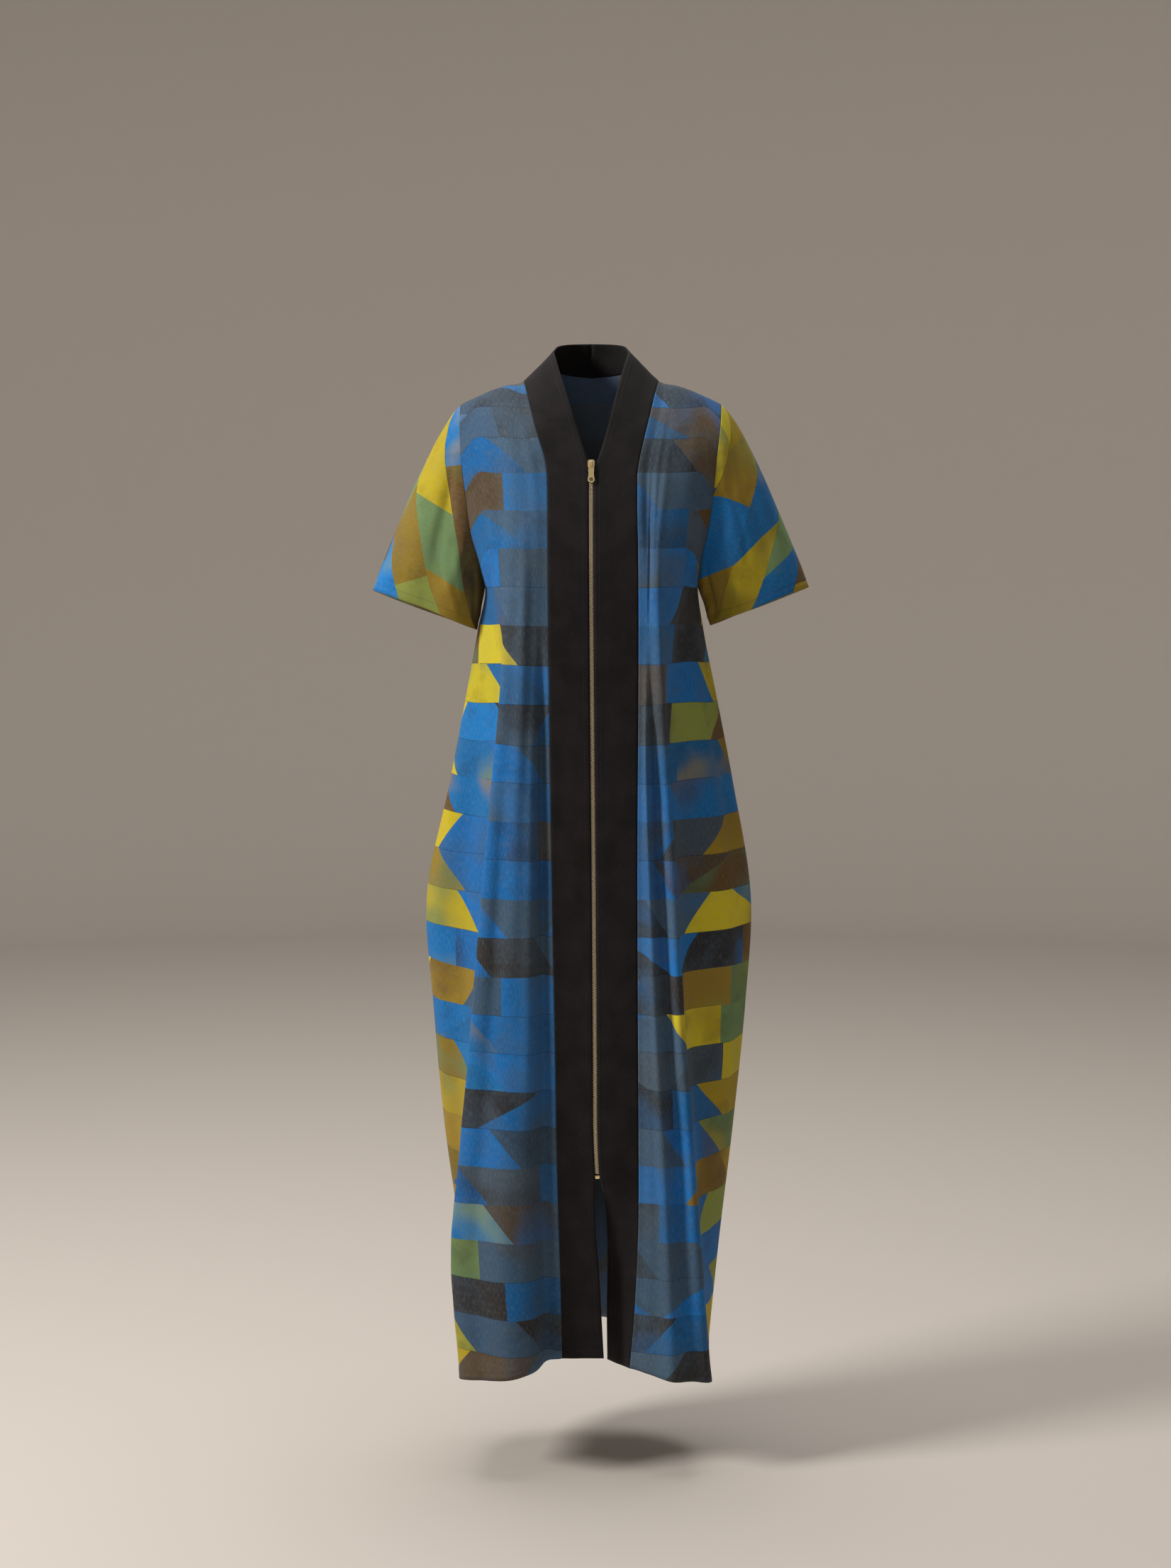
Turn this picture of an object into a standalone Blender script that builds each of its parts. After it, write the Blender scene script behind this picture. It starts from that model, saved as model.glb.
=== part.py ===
"""Long zip-front kaftan dress in its worn shape, hollow inside. Metres, +Z up, the front faces -Y.

+X is the wearer's left. The origin is midway between the two neck-side points, and drop is the distance
below it. Each cloth piece is a grid of points read off short section tables and given a wall inwards.
Pieces that are sewn together share the points of their seam, then each draws back half of the seam gap.
"""

import math

import bmesh
import bpy
import numpy as np

RIGHT, LEFT = -1.0, 1.0
WALL = 0.002
SEAM_GAP = 0.0003
MITRED = 0.28
SEWN = 0.8
SHOULDER_ROLL = 0.122
SHOULDER_DROP = 0.0715
UNDERARM_DROP = 0.315
ARMHOLE_FRONT = 0.062
ARMHOLE_BACK = 0.060

ROWS_TO_UNDERARM = 11
ROWS_TO_HEM = 21
COLUMNS_PER_LINE = 4
NECK_COLUMNS = 4
BAND_COLUMNS = 3
SLEEVE_ROWS = 10

CHAIN_WIDTH = 0.0056
CHAIN_THICKNESS = 0.0018
CHAIN_SUNK = 0.0006
CHAIN_TOP = 0.1556
CHAIN_FOOT = 1.0925
SLIDER_DROP = 0.1545
TAB_THICKNESS = 0.0012
TAB_LENGTH = 0.0262


def table(names, *rows):
    """Named columns from rows of numbers."""
    columns = np.array(rows, float).T
    return dict(zip(names.split(), columns))


# Drop below the neck, then how far the cloth stands before and behind the shoulder line
DEPTHS = table(
    "drop front back",
    (-0.02, 0.040, 0.068),
    (0.03, 0.055, 0.079),
    (0.06, 0.066, 0.085),
    (0.10, 0.080, 0.092),
    (0.15, 0.097, 0.100),
    (0.20, 0.113, 0.104),
    (0.25, 0.124, 0.105),
    (0.315, 0.130, 0.104),
    (0.37, 0.130, 0.101),
    (0.455, 0.128, 0.099),
    (0.58, 0.126, 0.104),
    (0.735, 0.126, 0.114),
    (0.88, 0.124, 0.120),
    (1.04, 0.119, 0.122),
    (1.20, 0.111, 0.122),
    (1.38, 0.099, 0.122),
)

# Half widths at the armhole seams, then at the side seams
SIDES = table(
    "drop right left",
    (-0.05, 0.176, 0.175),
    (0.0715, 0.175, 0.174),
    (0.10, 0.1745, 0.1715),
    (0.15, 0.1715, 0.1655),
    (0.20, 0.1655, 0.1605),
    (0.25, 0.1585, 0.1525),
    (0.29, 0.148, 0.1445),
    (0.315, 0.143, 0.1435),
    (0.37, 0.1525, 0.151),
    (0.455, 0.168, 0.168),
    (0.58, 0.192, 0.1925),
    (0.735, 0.2235, 0.217),
    (0.88, 0.215, 0.210),
    (1.04, 0.201, 0.1945),
    (1.20, 0.180, 0.176),
    (1.38, 0.164, 0.158),
)

# Each front: the middle of its face, the crest of its long side fold, and the hollow behind the crest
FRONT_RIGHT = table(
    "drop middle_y crest_x crest_y hollow_x hollow_y",
    (0.02, 0.060, 0.118, 0.058, 0.148, 0.056),
    (0.07, 0.070, 0.117, 0.067, 0.147, 0.063),
    (0.10, 0.080, 0.116, 0.075, 0.147, 0.067),
    (0.15, 0.096, 0.113, 0.089, 0.144, 0.076),
    (0.20, 0.111, 0.111, 0.102, 0.140, 0.085),
    (0.25, 0.122, 0.110, 0.112, 0.135, 0.090),
    (0.315, 0.129, 0.111, 0.119, 0.129, 0.088),
    (0.37, 0.130, 0.114, 0.121, 0.123, 0.084),
    (0.455, 0.130, 0.119, 0.124, 0.118, 0.080),
    (0.58, 0.130, 0.131, 0.127, 0.127, 0.080),
    (0.735, 0.131, 0.1445, 0.129, 0.139, 0.082),
    (0.88, 0.132, 0.156, 0.129, 0.151, 0.084),
    (1.04, 0.132, 0.171, 0.124, 0.164, 0.080),
    (1.20, 0.129, 0.184, 0.108, 0.175, 0.062),
    (1.38, 0.127, 0.174, 0.098, 0.168, 0.050),
)
FRONT_LEFT = table(
    "drop middle_y crest_x crest_y hollow_x hollow_y",
    (0.02, 0.060, 0.118, 0.058, 0.148, 0.056),
    (0.07, 0.070, 0.116, 0.067, 0.146, 0.063),
    (0.10, 0.080, 0.113, 0.076, 0.145, 0.067),
    (0.15, 0.096, 0.106, 0.092, 0.139, 0.078),
    (0.20, 0.112, 0.100, 0.108, 0.132, 0.088),
    (0.25, 0.124, 0.095, 0.120, 0.126, 0.094),
    (0.315, 0.131, 0.092, 0.129, 0.118, 0.092),
    (0.37, 0.131, 0.092, 0.131, 0.111, 0.094),
    (0.455, 0.131, 0.095, 0.132, 0.106, 0.098),
    (0.58, 0.131, 0.103, 0.131, 0.112, 0.100),
    (0.735, 0.131, 0.113, 0.130, 0.121, 0.100),
    (0.88, 0.130, 0.121, 0.129, 0.129, 0.099),
    (1.04, 0.127, 0.133, 0.126, 0.139, 0.094),
    (1.20, 0.124, 0.143, 0.121, 0.149, 0.084),
    (1.38, 0.121, 0.157, 0.108, 0.160, 0.062),
)

# Drop of the front hem at the band seam, the face's middle, the crest, the hollow and the side seam
HEM_RIGHT = (1.345, 1.364, 1.374, 1.374, 1.374)
HEM_LEFT = (1.359, 1.369, 1.376, 1.377, 1.378)
HEM_CENTRE_BACK = 1.348

# The bands from the shoulder to the hem: their seam with the front, and their free or zipped edge
BAND_RIGHT = table(
    "drop seam_x inner_drop inner_x inner_back",
    (0.0395, -0.0905, 0.000, -0.0507, 0.0),
    (0.055, -0.0862, 0.024, -0.0439, 0.0),
    (0.085, -0.0788, 0.060, -0.0326, 0.0),
    (0.12, -0.0690, 0.100, -0.0206, 0.0),
    (0.145, -0.0612, 0.130, -0.0112, 0.0),
    (0.165, -0.0582, 0.153, -0.0046, 0.0),
    (0.185, -0.0574, 0.180, -0.0034, 0.0),
    (0.21, -0.0570, 0.210, -0.0034, 0.0),
    (0.25, -0.0567, 0.250, -0.0034, 0.0),
    (0.73, -0.0514, 0.730, 0.0003, 0.0),
    (0.97, -0.0471, 0.970, 0.0019, 0.0),
    (1.04, -0.0463, 1.040, 0.0024, 0.0),
    (1.10, -0.0450, 1.100, 0.0050, 0.0),
    (1.12, -0.0446, 1.120, 0.0047, 0.0),
    (1.175, -0.0430, 1.175, 0.0064, 0.0),
    (1.22, -0.0417, 1.220, 0.0100, 0.0),
    (1.28, -0.0402, 1.280, 0.0133, 0.0),
    (1.345, -0.0389, 1.3445, 0.0168, 0.0),
)
BAND_LEFT = table(
    "drop seam_x inner_drop inner_x inner_back",
    (0.0395, 0.0905, 0.000, 0.0507, 0.0),
    (0.055, 0.0855, 0.024, 0.0431, 0.0),
    (0.085, 0.0781, 0.060, 0.0327, 0.0),
    (0.12, 0.0692, 0.100, 0.0227, 0.0),
    (0.145, 0.0636, 0.130, 0.0140, 0.0),
    (0.165, 0.0603, 0.155, 0.0062, 0.0),
    (0.185, 0.0600, 0.180, 0.0030, 0.0),
    (0.21, 0.0598, 0.210, 0.0028, 0.0),
    (0.25, 0.0605, 0.250, 0.0028, 0.0),
    (0.73, 0.0605, 0.730, 0.0065, 0.0),
    (0.97, 0.0620, 0.970, 0.0081, 0.0),
    (1.04, 0.0626, 1.040, 0.0086, 0.0),
    (1.10, 0.0629, 1.100, 0.0116, 0.0),
    (1.12, 0.0629, 1.120, 0.0165, 0.006),
    (1.175, 0.0622, 1.175, 0.0210, 0.018),
    (1.22, 0.0606, 1.220, 0.0217, 0.026),
    (1.28, 0.0577, 1.278, 0.0209, 0.032),
    (1.359, 0.0515, 1.356, 0.0217, 0.035),
)

# The back neck from its centre to the neck side: the band's seam, then its standing top edge
BACK_NECK = table(
    "seam_x seam_drop top_x top_y top_rise",
    (0.0, 0.030, 0.0, 0.052, 0.014),
    (0.026, 0.028, 0.018, 0.049, 0.0135),
    (0.050, 0.025, 0.034, 0.040, 0.012),
    (0.072, 0.0265, 0.046, 0.024, 0.008),
    (0.0905, 0.0395, 0.0507, 0.0, 0.0),
)

# The line of the shoulders, from the neck's axis outwards
SHOULDER = table(
    "x drop",
    (0.0, -0.050),
    (0.0507, 0.0),
    (0.072, 0.0215),
    (0.0905, 0.0395),
    (0.115, 0.0455),
    (0.130, 0.0505),
    (0.150, 0.0590),
    (0.170, 0.0685),
    (0.176, 0.0720),
)

CHAIN = table(
    "drop x",
    (0.10, -0.0003),
    (0.25, -0.0003),
    (0.73, 0.0034),
    (0.97, 0.0050),
    (1.04, 0.0055),
    (1.10, 0.0083),
)

# Sleeves: the hem ring's middle, its half length from underarm to tip, and its half depth
SLEEVES = table(
    "side middle_x middle_drop half_x half_rise half_depth",
    (RIGHT, -0.2243, 0.3453, -0.0702, 0.0266, 0.052),
    (LEFT, 0.2264, 0.3405, 0.0659, 0.0256, 0.052),
)

# Soft folds of the fronts: place on the sheet at the top and foot, drops of top and foot, width, depth
FOLDS_FRONT_RIGHT = table(
    "place_top place_foot from_drop to_drop width depth",
    (0.26, 0.30, 0.34, 1.50, 0.18, -0.0100),
    (0.66, 0.64, 0.40, 1.50, 0.20, 0.0040),
    (1.15, 1.10, 0.16, 0.95, 0.25, 0.0050),
    (1.05, 1.00, 0.85, 1.60, 0.30, 0.0060),
    (3.45, 3.40, 0.42, 1.30, 0.20, -0.0050),
    (3.75, 3.70, 0.50, 1.20, 0.12, 0.0030),
)
FOLDS_FRONT_LEFT = table(
    "place_top place_foot from_drop to_drop width depth",
    (0.30, 0.60, 0.05, 0.34, 0.22, -0.0055),
    (1.00, 0.80, 0.05, 0.42, 0.22, -0.0050),
    (0.40, 1.22, 0.36, 1.50, 0.24, 0.0070),
    (0.92, 1.72, 0.36, 1.50, 0.28, -0.0100),
    (3.45, 3.60, 0.36, 1.10, 0.16, 0.0080),
    (3.15, 3.20, 0.45, 1.20, 0.16, -0.0060),
)
# Soft folds of the back, placed by the share of its half width
FOLDS_BACK = table(
    "place_top place_foot from_drop to_drop width depth",
    (-0.62, -0.70, 0.24, 1.50, 0.085, 0.0100),
    (-0.36, -0.40, 0.16, 1.50, 0.085, -0.0080),
    (-0.10, -0.12, 0.30, 1.50, 0.090, 0.0070),
    (0.18, 0.22, 0.20, 1.50, 0.085, -0.0080),
    (0.45, 0.48, 0.18, 1.50, 0.090, 0.0090),
    (0.70, 0.76, 0.30, 1.50, 0.075, -0.0080),
)
# Soft folds of the sleeves, placed by the share around from the shoulder over the front, then by the share along
FOLDS_SLEEVE_RIGHT = table(
    "place_top place_foot from_drop to_drop width depth",
    (0.20, 0.27, 0.10, 1.20, 0.050, -0.0050),
    (0.33, 0.36, 0.25, 1.20, 0.050, 0.0040),
    (0.70, 0.66, 0.10, 1.20, 0.055, -0.0050),
    (0.85, 0.86, 0.20, 1.20, 0.050, 0.0040),
)
FOLDS_SLEEVE_LEFT = table(
    "place_top place_foot from_drop to_drop width depth",
    (0.14, 0.16, 0.05, 0.90, 0.045, -0.0060),
    (0.27, 0.30, 0.15, 1.20, 0.055, 0.0050),
    (0.42, 0.40, 0.20, 1.20, 0.045, -0.0050),
    (0.72, 0.68, 0.10, 1.20, 0.055, -0.0050),
)


def read(rows, name, at, key="drop"):
    """A column read between its rows on a cubic that takes each row's mean slope."""
    places, values = rows[key], rows[name]
    slopes = np.gradient(values, places)
    at = np.clip(at, places[0], places[-1])
    k = np.clip(np.searchsorted(places, at, side="right") - 1, 0, len(places) - 2)
    step = places[k + 1] - places[k]
    t = (at - places[k]) / step
    start = (1 + 2 * t) * (1 - t) ** 2 * values[k] + t * (1 - t) ** 2 * step * slopes[k]
    end = t * t * (3 - 2 * t) * values[k + 1] + t * t * (t - 1) * step * slopes[k + 1]
    return start + end


def ease(t):
    """0 to 1 with level ends."""
    t = np.clip(t, 0.0, 1.0)
    return t * t * (3.0 - 2.0 * t)


def roll(x, drop):
    """How far the cloth has turned over the shoulder, 0 on the shoulder line and 1 once it hangs."""
    below = np.clip((drop - read(SHOULDER, "drop", np.abs(x), "x")) / SHOULDER_ROLL, 0.0, 1.0)
    return np.sqrt(1.0 - (1.0 - below) ** 2)


def armhole_depth(drop, depth):
    """Half depth of the armhole, closing round the underarm and 0 below it."""
    middle = (SHOULDER_DROP + UNDERARM_DROP) / 2
    down = np.clip((drop - middle) / (UNDERARM_DROP - middle), 0.0, 1.0)
    return depth * np.sqrt(1.0 - down**2)


def side_edge(side, drop):
    return read(SIDES, "right" if side == RIGHT else "left", drop)


def through(lines, place):
    """A Catmull-Rom curve through the lines, the first and last of which only set the end slopes."""
    k = np.clip(np.floor(place).astype(int), 0, len(lines) - 4)
    t = place - k
    before, here, there, after = (
        np.take_along_axis(lines, (k + i)[None], axis=0)[0] for i in range(4)
    )
    return here + 0.5 * t * (
        there - before
        + t * (2 * before - 5 * here + 4 * there - after + t * (3 * (here - there) + after - before))
    )


def front_xy(side, place, drop):
    """A front's section at its own drop: band seam, face, crest, hollow and side seam are places 0 to 4."""
    rows = FRONT_RIGHT if side == RIGHT else FRONT_LEFT
    band = BAND_RIGHT if side == RIGHT else BAND_LEFT
    depth = read(DEPTHS, "front", drop)
    seam = np.abs(read(band, "seam_x", drop))
    crest = read(rows, "crest_x", drop)
    edge = side_edge(side, drop)
    edge_y = armhole_depth(drop, ARMHOLE_FRONT)
    hollow_x, hollow_y = read(rows, "hollow_x", drop), read(rows, "hollow_y", drop)
    turned = ease((drop - 0.25) / 0.08)
    beyond_x = turned * hollow_x + (1 - turned) * (2 * edge - hollow_x)
    beyond_y = (1 - turned) * 2 * edge_y - hollow_y
    x = np.stack([seam * 0.1, seam, (seam + crest) / 2, crest, hollow_x, edge, beyond_x])
    y = np.stack(
        [depth, depth * 0.985, read(rows, "middle_y", drop), read(rows, "crest_y", drop),
         hollow_y, edge_y, beyond_y]
    )
    x = through(x, place)
    y = through(y, place)
    return side * x, -y * roll(x, drop)


def back_xy(side, share, drop):
    """The back's section at its own drop, by the share of its half width."""
    x = side_edge(side, drop) * share
    depth = read(DEPTHS, "back", drop)
    bow = 1.0 - np.clip(share, 0.0, 1.0) ** 2.6
    sleeved = ARMHOLE_BACK + (depth - ARMHOLE_BACK) * bow**0.8
    closed = depth * np.sqrt(bow)
    near = share**6
    part = armhole_depth(drop, 1.0) * near + (1 - ease((drop - 0.20) / 0.20)) * (1 - near)
    y = closed + (sleeved - closed) * part
    return side * x, y * roll(x, drop)


def down(top, hem):
    """Drops of all rows of a sheet, close together at the shoulder and at the underarm."""
    upper = (1 - np.cos(np.pi * np.arange(ROWS_TO_UNDERARM + 1) / ROWS_TO_UNDERARM)) / 2
    lower = (np.arange(1, ROWS_TO_HEM + 1) / ROWS_TO_HEM) ** 1.2
    above = top[:, None] + (UNDERARM_DROP - top[:, None]) * upper
    below = UNDERARM_DROP + (hem[:, None] - UNDERARM_DROP) * lower
    return np.concatenate([above, below], axis=1)


def normals(grid, wrap=False):
    """Unit normals of a grid of points, by the slopes along its two ways."""
    if wrap:
        across = np.roll(grid, -1, axis=0) - np.roll(grid, 1, axis=0)
    else:
        across = np.gradient(grid, axis=0)
    along = np.gradient(grid, axis=1)
    n = np.cross(across, along)
    return n / np.linalg.norm(n, axis=2, keepdims=True)


def folded(grid, outward, rows, place, down_to, fade):
    """The grid with its soft folds pushed out along its normals."""
    height = np.zeros(grid.shape[:2])
    for top, foot, start, end, width, depth in zip(*rows.values()):
        t = np.clip((down_to - start) / (end - start), 0.0, 1.0)
        off = (place - (top + (foot - top) * t)) / width
        grown = ease((down_to - start) / 0.22) * ease((end - down_to) / 0.18)
        height += depth * grown * np.exp(-off * off)
    return grid + outward * (height * fade)[..., None]


def front_grid(side):
    places = np.linspace(0.0, 4.0, 4 * COLUMNS_PER_LINE + 1)
    top = np.full(places.shape, 0.05)
    for _ in range(40):
        x, _ = front_xy(side, places, top)
        top = read(SHOULDER, "drop", np.abs(x), "x")
    hems = np.array(HEM_RIGHT if side == RIGHT else HEM_LEFT)
    hems = np.concatenate([hems[:1], hems, hems[-1:]])
    hem = through(np.repeat(hems[:, None], len(places), axis=1), places)
    drop = down(top, hem)
    place = np.repeat(places[:, None], drop.shape[1], axis=1)
    x, y = front_xy(side, place, drop)
    y[:, 0] = 0.0
    grid = np.stack([x, y, -drop], axis=2)
    rows = FOLDS_FRONT_RIGHT if side == RIGHT else FOLDS_FRONT_LEFT
    fade = ease((4.0 - place) / 0.5) * ease(place / 0.25)
    return folded(grid, -side * normals(grid), rows, place, drop, fade)


def back_half(side, shoulder_x):
    """Points of half the back, from its centre to the side, with the front's own shoulder columns."""
    neck_x = np.sin(np.linspace(0.0, np.pi / 2, NECK_COLUMNS + 1)[:-1]) * BACK_NECK["seam_x"][-1]
    top_x = np.concatenate([neck_x, shoulder_x])
    top = read(SHOULDER, "drop", top_x, "x")
    top[:NECK_COLUMNS] = read(BACK_NECK, "seam_drop", neck_x, "seam_x")
    turn = np.linspace(0.0, 1.0, len(top_x))
    low = np.sin(turn * np.pi / 2)
    hem_side = (HEM_RIGHT if side == RIGHT else HEM_LEFT)[-1]
    drop = down(top, HEM_CENTRE_BACK + (hem_side - HEM_CENTRE_BACK) * low**2)
    high = top_x / side_edge(side, top)
    high[-1] = 1.0
    blend = ease(np.arange(drop.shape[1]) / ROWS_TO_UNDERARM)
    share = high[:, None] * (1 - blend) + low[:, None] * blend
    x, y = back_xy(side, share, drop)
    y[NECK_COLUMNS:, 0] = 0.0
    return np.stack([x, y, -drop], axis=2), side * share


def back_grid(fronts):
    """The whole back, from the wearer's right side to the left one."""
    halves = [back_half(side, np.abs(fronts[side][:, 0, 0])) for side in (RIGHT, LEFT)]
    grid = np.concatenate([halves[0][0][::-1], halves[1][0][1:]])
    share = np.concatenate([halves[0][1][::-1], halves[1][1][1:]])
    fade = ease((1.0 - np.abs(share)) / 0.15)
    return folded(grid, normals(grid), FOLDS_BACK, share, -grid[..., 2], fade)


def band_grid(side, front, back):
    """A band from the centre back over the shoulder to the hem; its seam is the edge of the sheets beside it."""
    middle = (len(back) - 1) // 2
    turn = 1 if side == LEFT else -1
    neck = back[middle + turn * np.arange(NECK_COLUMNS + 1), 0]
    neck_x = np.abs(neck[:, 0])
    top = np.stack(
        [
            side * read(BACK_NECK, "top_x", neck_x, "seam_x"),
            read(BACK_NECK, "top_y", neck_x, "seam_x"),
            read(BACK_NECK, "top_rise", neck_x, "seam_x"),
        ],
        axis=1,
    )
    seam = front[0, 1:]
    rows = BAND_RIGHT if side == RIGHT else BAND_LEFT
    drop = read(rows, "inner_drop", -seam[:, 2])
    x = read(rows, "inner_x", -seam[:, 2])
    zipped = ease((drop - 0.165) / 0.02) * (1.0 - ease((drop - 1.085) / 0.02))
    beside = read(CHAIN, "x", drop) + side * (CHAIN_WIDTH / 2 + SEAM_GAP)
    x = x * (1 - zipped) + beside * zipped
    y = -read(DEPTHS, "front", drop) * roll(x, drop) + read(rows, "inner_back", -seam[:, 2])
    inner = np.concatenate([top, np.stack([x, y, -drop], axis=1)])
    outer = np.concatenate([neck, seam])
    share = np.linspace(0.0, 1.0, BAND_COLUMNS + 1)[:, None, None]
    return outer * (1 - share) + inner * share


def sleeve_grid(side, front, back):
    """A sleeve from its armhole to its hem, around from the shoulder over the front to the underarm and up the back."""
    edge = back[-1] if side == LEFT else back[0]
    upto = ROWS_TO_UNDERARM + 1
    armhole = np.concatenate([front[-1, :upto], edge[1 : upto - 1][::-1]])
    row = 0 if side == RIGHT else 1
    around = np.pi * np.arange(len(armhole)) / ROWS_TO_UNDERARM
    up, ahead = np.cos(around), np.sin(around)
    hem = np.stack(
        [
            SLEEVES["middle_x"][row] + SLEEVES["half_x"][row] * up,
            -SLEEVES["half_depth"][row] * ahead,
            -SLEEVES["middle_drop"][row] + SLEEVES["half_rise"][row] * up + 0.003 * ahead,
        ],
        axis=1,
    )
    lift = np.clip(up, 0.0, 1.0)
    knee = (armhole + hem) / 2
    knee += np.stack([-side * 0.0228 * lift, -0.010 * ahead, 0.090 * lift], axis=1)
    along = np.linspace(0.0, 1.0, SLEEVE_ROWS + 1)[None, :, None]
    grid = (
        (1 - along) ** 2 * armhole[:, None]
        + 2 * along * (1 - along) * knee[:, None]
        + along**2 * hem[:, None]
    )
    place = np.repeat((around / (2 * np.pi))[:, None], SLEEVE_ROWS + 1, axis=1)
    along = np.repeat(along[..., 0], len(around), axis=0)
    rows = FOLDS_SLEEVE_RIGHT if side == RIGHT else FOLDS_SLEEVE_LEFT
    return folded(grid, side * normals(grid, True), rows, place, along, ease(along / 0.3))


def border(grid, wrap):
    """The border's edges as lists of grid places, each with the step to the next place inside."""
    m, n = grid.shape[:2]
    edges = [
        ([(i, 0) for i in range(m)], (0, 1)),
        ([(i, n - 1) for i in range(m)], (0, -1)),
    ]
    if not wrap:
        edges.append(([(0, j) for j in range(n)], (1, 0)))
        edges.append(([(m - 1, j) for j in range(n)], (-1, 0)))
    return edges


def unit(v):
    return v / np.linalg.norm(v)


def spot(point):
    """A key that is the same for points of two sheets at one place."""
    return tuple(np.round(point, 6))


def rim_way(own, met):
    """The way into the wall at a seam: the mean normal of the sheets there that face about the same way."""
    return unit(np.sum([n for n in met if n @ own > MITRED], axis=0))


def seam_step(grid, outward, met, place, ends, inside):
    """The unit step away from a seam along the sheet, square to the seam and to the wall's rim."""
    way = unit(grid[ends[1]] - grid[ends[0]])
    rim = rim_way(outward[place], met)
    rim = unit(rim - (rim @ way) * way)
    step = grid[place[0] + inside[0], place[1] + inside[1]] - grid[place]
    step = unit(step - (step @ way) * way - (step @ rim) * rim)
    if min(n @ outward[place] for n in met) <= MITRED:
        step = step - rim
    return step


def walls(sheets):
    """Outer and inner grids of each sheet: seams are found by the points that sheets share."""
    shared = {}
    for grid, outward, wrap in sheets.values():
        for place in {place for edge, _ in border(grid, wrap) for place in edge}:
            shared.setdefault(spot(grid[place]), []).append(outward[place])
    out = {}
    for name, (grid, outward, wrap) in sheets.items():
        outer, inner = grid.copy(), grid - outward * WALL
        edges = [(edge, inside, [shared[spot(grid[p])] for p in edge]) for edge, inside in border(grid, wrap)]
        for edge, _, met in edges:
            for place, here in zip(edge, met):
                if len(here) > 1:
                    rim = rim_way(outward[place], here)
                    inner[place] = outer[place] - rim * WALL / (rim @ outward[place])
        for edge, inside, met in edges:
            if sum(len(here) > 1 for here in met) <= SEWN * len(edge):
                continue
            last = len(edge) - 1
            for k, place in enumerate(edge):
                ends = (k - 1, (k + 1) % len(edge)) if wrap else (max(k - 1, 0), min(k + 1, last))
                step = seam_step(grid, outward, met[k], place, (edge[ends[0]], edge[ends[1]]), inside)
                outer[place] += step * SEAM_GAP / 2
                inner[place] += step * SEAM_GAP / 2
        out[name] = (outer, inner, wrap)
    return out


def painted(obj, colour, rough=0.8, metal=0.0):
    mat = bpy.data.materials.new(obj.name)
    mat.use_nodes = True
    shader = mat.node_tree.nodes["Principled BSDF"]
    shader.inputs["Base Color"].default_value = (*colour, 1.0)
    shader.inputs["Roughness"].default_value = rough
    shader.inputs["Metallic"].default_value = metal
    obj.data.materials.append(mat)
    return obj


def mesh_object(name, points, faces, at=(0.0, 0.0, 0.0)):
    """A closed mesh with its faces outward and its origin at the given point."""
    mesh = bpy.data.meshes.new(name)
    mesh.from_pydata([tuple(p) for p in np.asarray(points) - np.array(at)], [], faces)
    bm = bmesh.new()
    bm.from_mesh(mesh)
    bmesh.ops.recalc_face_normals(bm, faces=bm.faces)
    if bm.calc_volume(signed=True) < 0:
        bmesh.ops.reverse_faces(bm, faces=bm.faces)
    bm.to_mesh(mesh)
    bm.free()
    obj = bpy.data.objects.new(name, mesh)
    obj.location = at
    bpy.context.collection.objects.link(obj)
    return obj


def sheet_object(name, outer, inner, wrap):
    """The wall between two grids, closed along its rims."""
    m, n = outer.shape[:2]
    index = np.arange(m * n).reshape(m, n)
    points = np.concatenate([outer.reshape(-1, 3), inner.reshape(-1, 3)])
    rank = points @ np.array([1.0, 2.0, 3.0])
    faces = []

    def rim(a, b):
        """The wall's edge between two neighbours, split the same way on both sides of a seam."""
        if rank[a] < rank[b]:
            a, b = b, a
        faces.append((a, b, m * n + b))
        faces.append((a, m * n + b, m * n + a))

    steps = m if wrap else m - 1
    for i in range(steps):
        a, b = index[i], index[(i + 1) % m]
        for j in range(n - 1):
            faces.append((a[j], b[j], b[j + 1], a[j + 1]))
            faces.append(tuple(m * n + k for k in (a[j + 1], b[j + 1], b[j], a[j])))
        rim(a[0], b[0])
        rim(a[-1], b[-1])
    if not wrap:
        for i in (0, m - 1):
            for j in range(n - 1):
                rim(index[i, j], index[i, j + 1])
    obj = mesh_object(name, points, [tuple(int(k) for k in face) for face in faces])
    for polygon in obj.data.polygons:
        polygon.use_smooth = True
    return obj


def cloth():
    fronts = {side: front_grid(side) for side in (RIGHT, LEFT)}
    back = back_grid(fronts)
    sheets = {"back": (back, normals(back), False)}
    for side, word in ((RIGHT, "right"), (LEFT, "left")):
        front = fronts[side]
        band = band_grid(side, front, back)
        sleeve = sleeve_grid(side, front, back)
        sheets["front_" + word] = (front, -side * normals(front), False)
        sheets["band_" + word] = (band, side * normals(band), False)
        sheets["sleeve_" + word] = (sleeve, side * normals(sleeve, True), True)
    colours = {"back": (0.50, 0.38, 0.08), "front": (0.03, 0.16, 0.42), "band": (0.02, 0.017, 0.018)}
    for name, (outer, inner, wrap) in walls(sheets).items():
        colour = colours.get(name.split("_")[0], (0.55, 0.42, 0.06))
        painted(sheet_object(name, outer, inner, wrap), colour)
    return -sheets["band_right"][0][-1, NECK_COLUMNS + 1 :, 2]


def zip_frame(drop):
    """On the zip at a drop: the point of the cloth's face, the way down along it and the way out from it."""
    step = 0.004
    ends = [
        np.array([read(CHAIN, "x", d), -read(DEPTHS, "front", d), -d])
        for d in (drop - step, drop, drop + step)
    ]
    way = unit(ends[2] - ends[0])
    out = unit(np.array([0.0, -1.0, 0.0]) - way * (-way[1]))
    return ends[1], way, out


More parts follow.
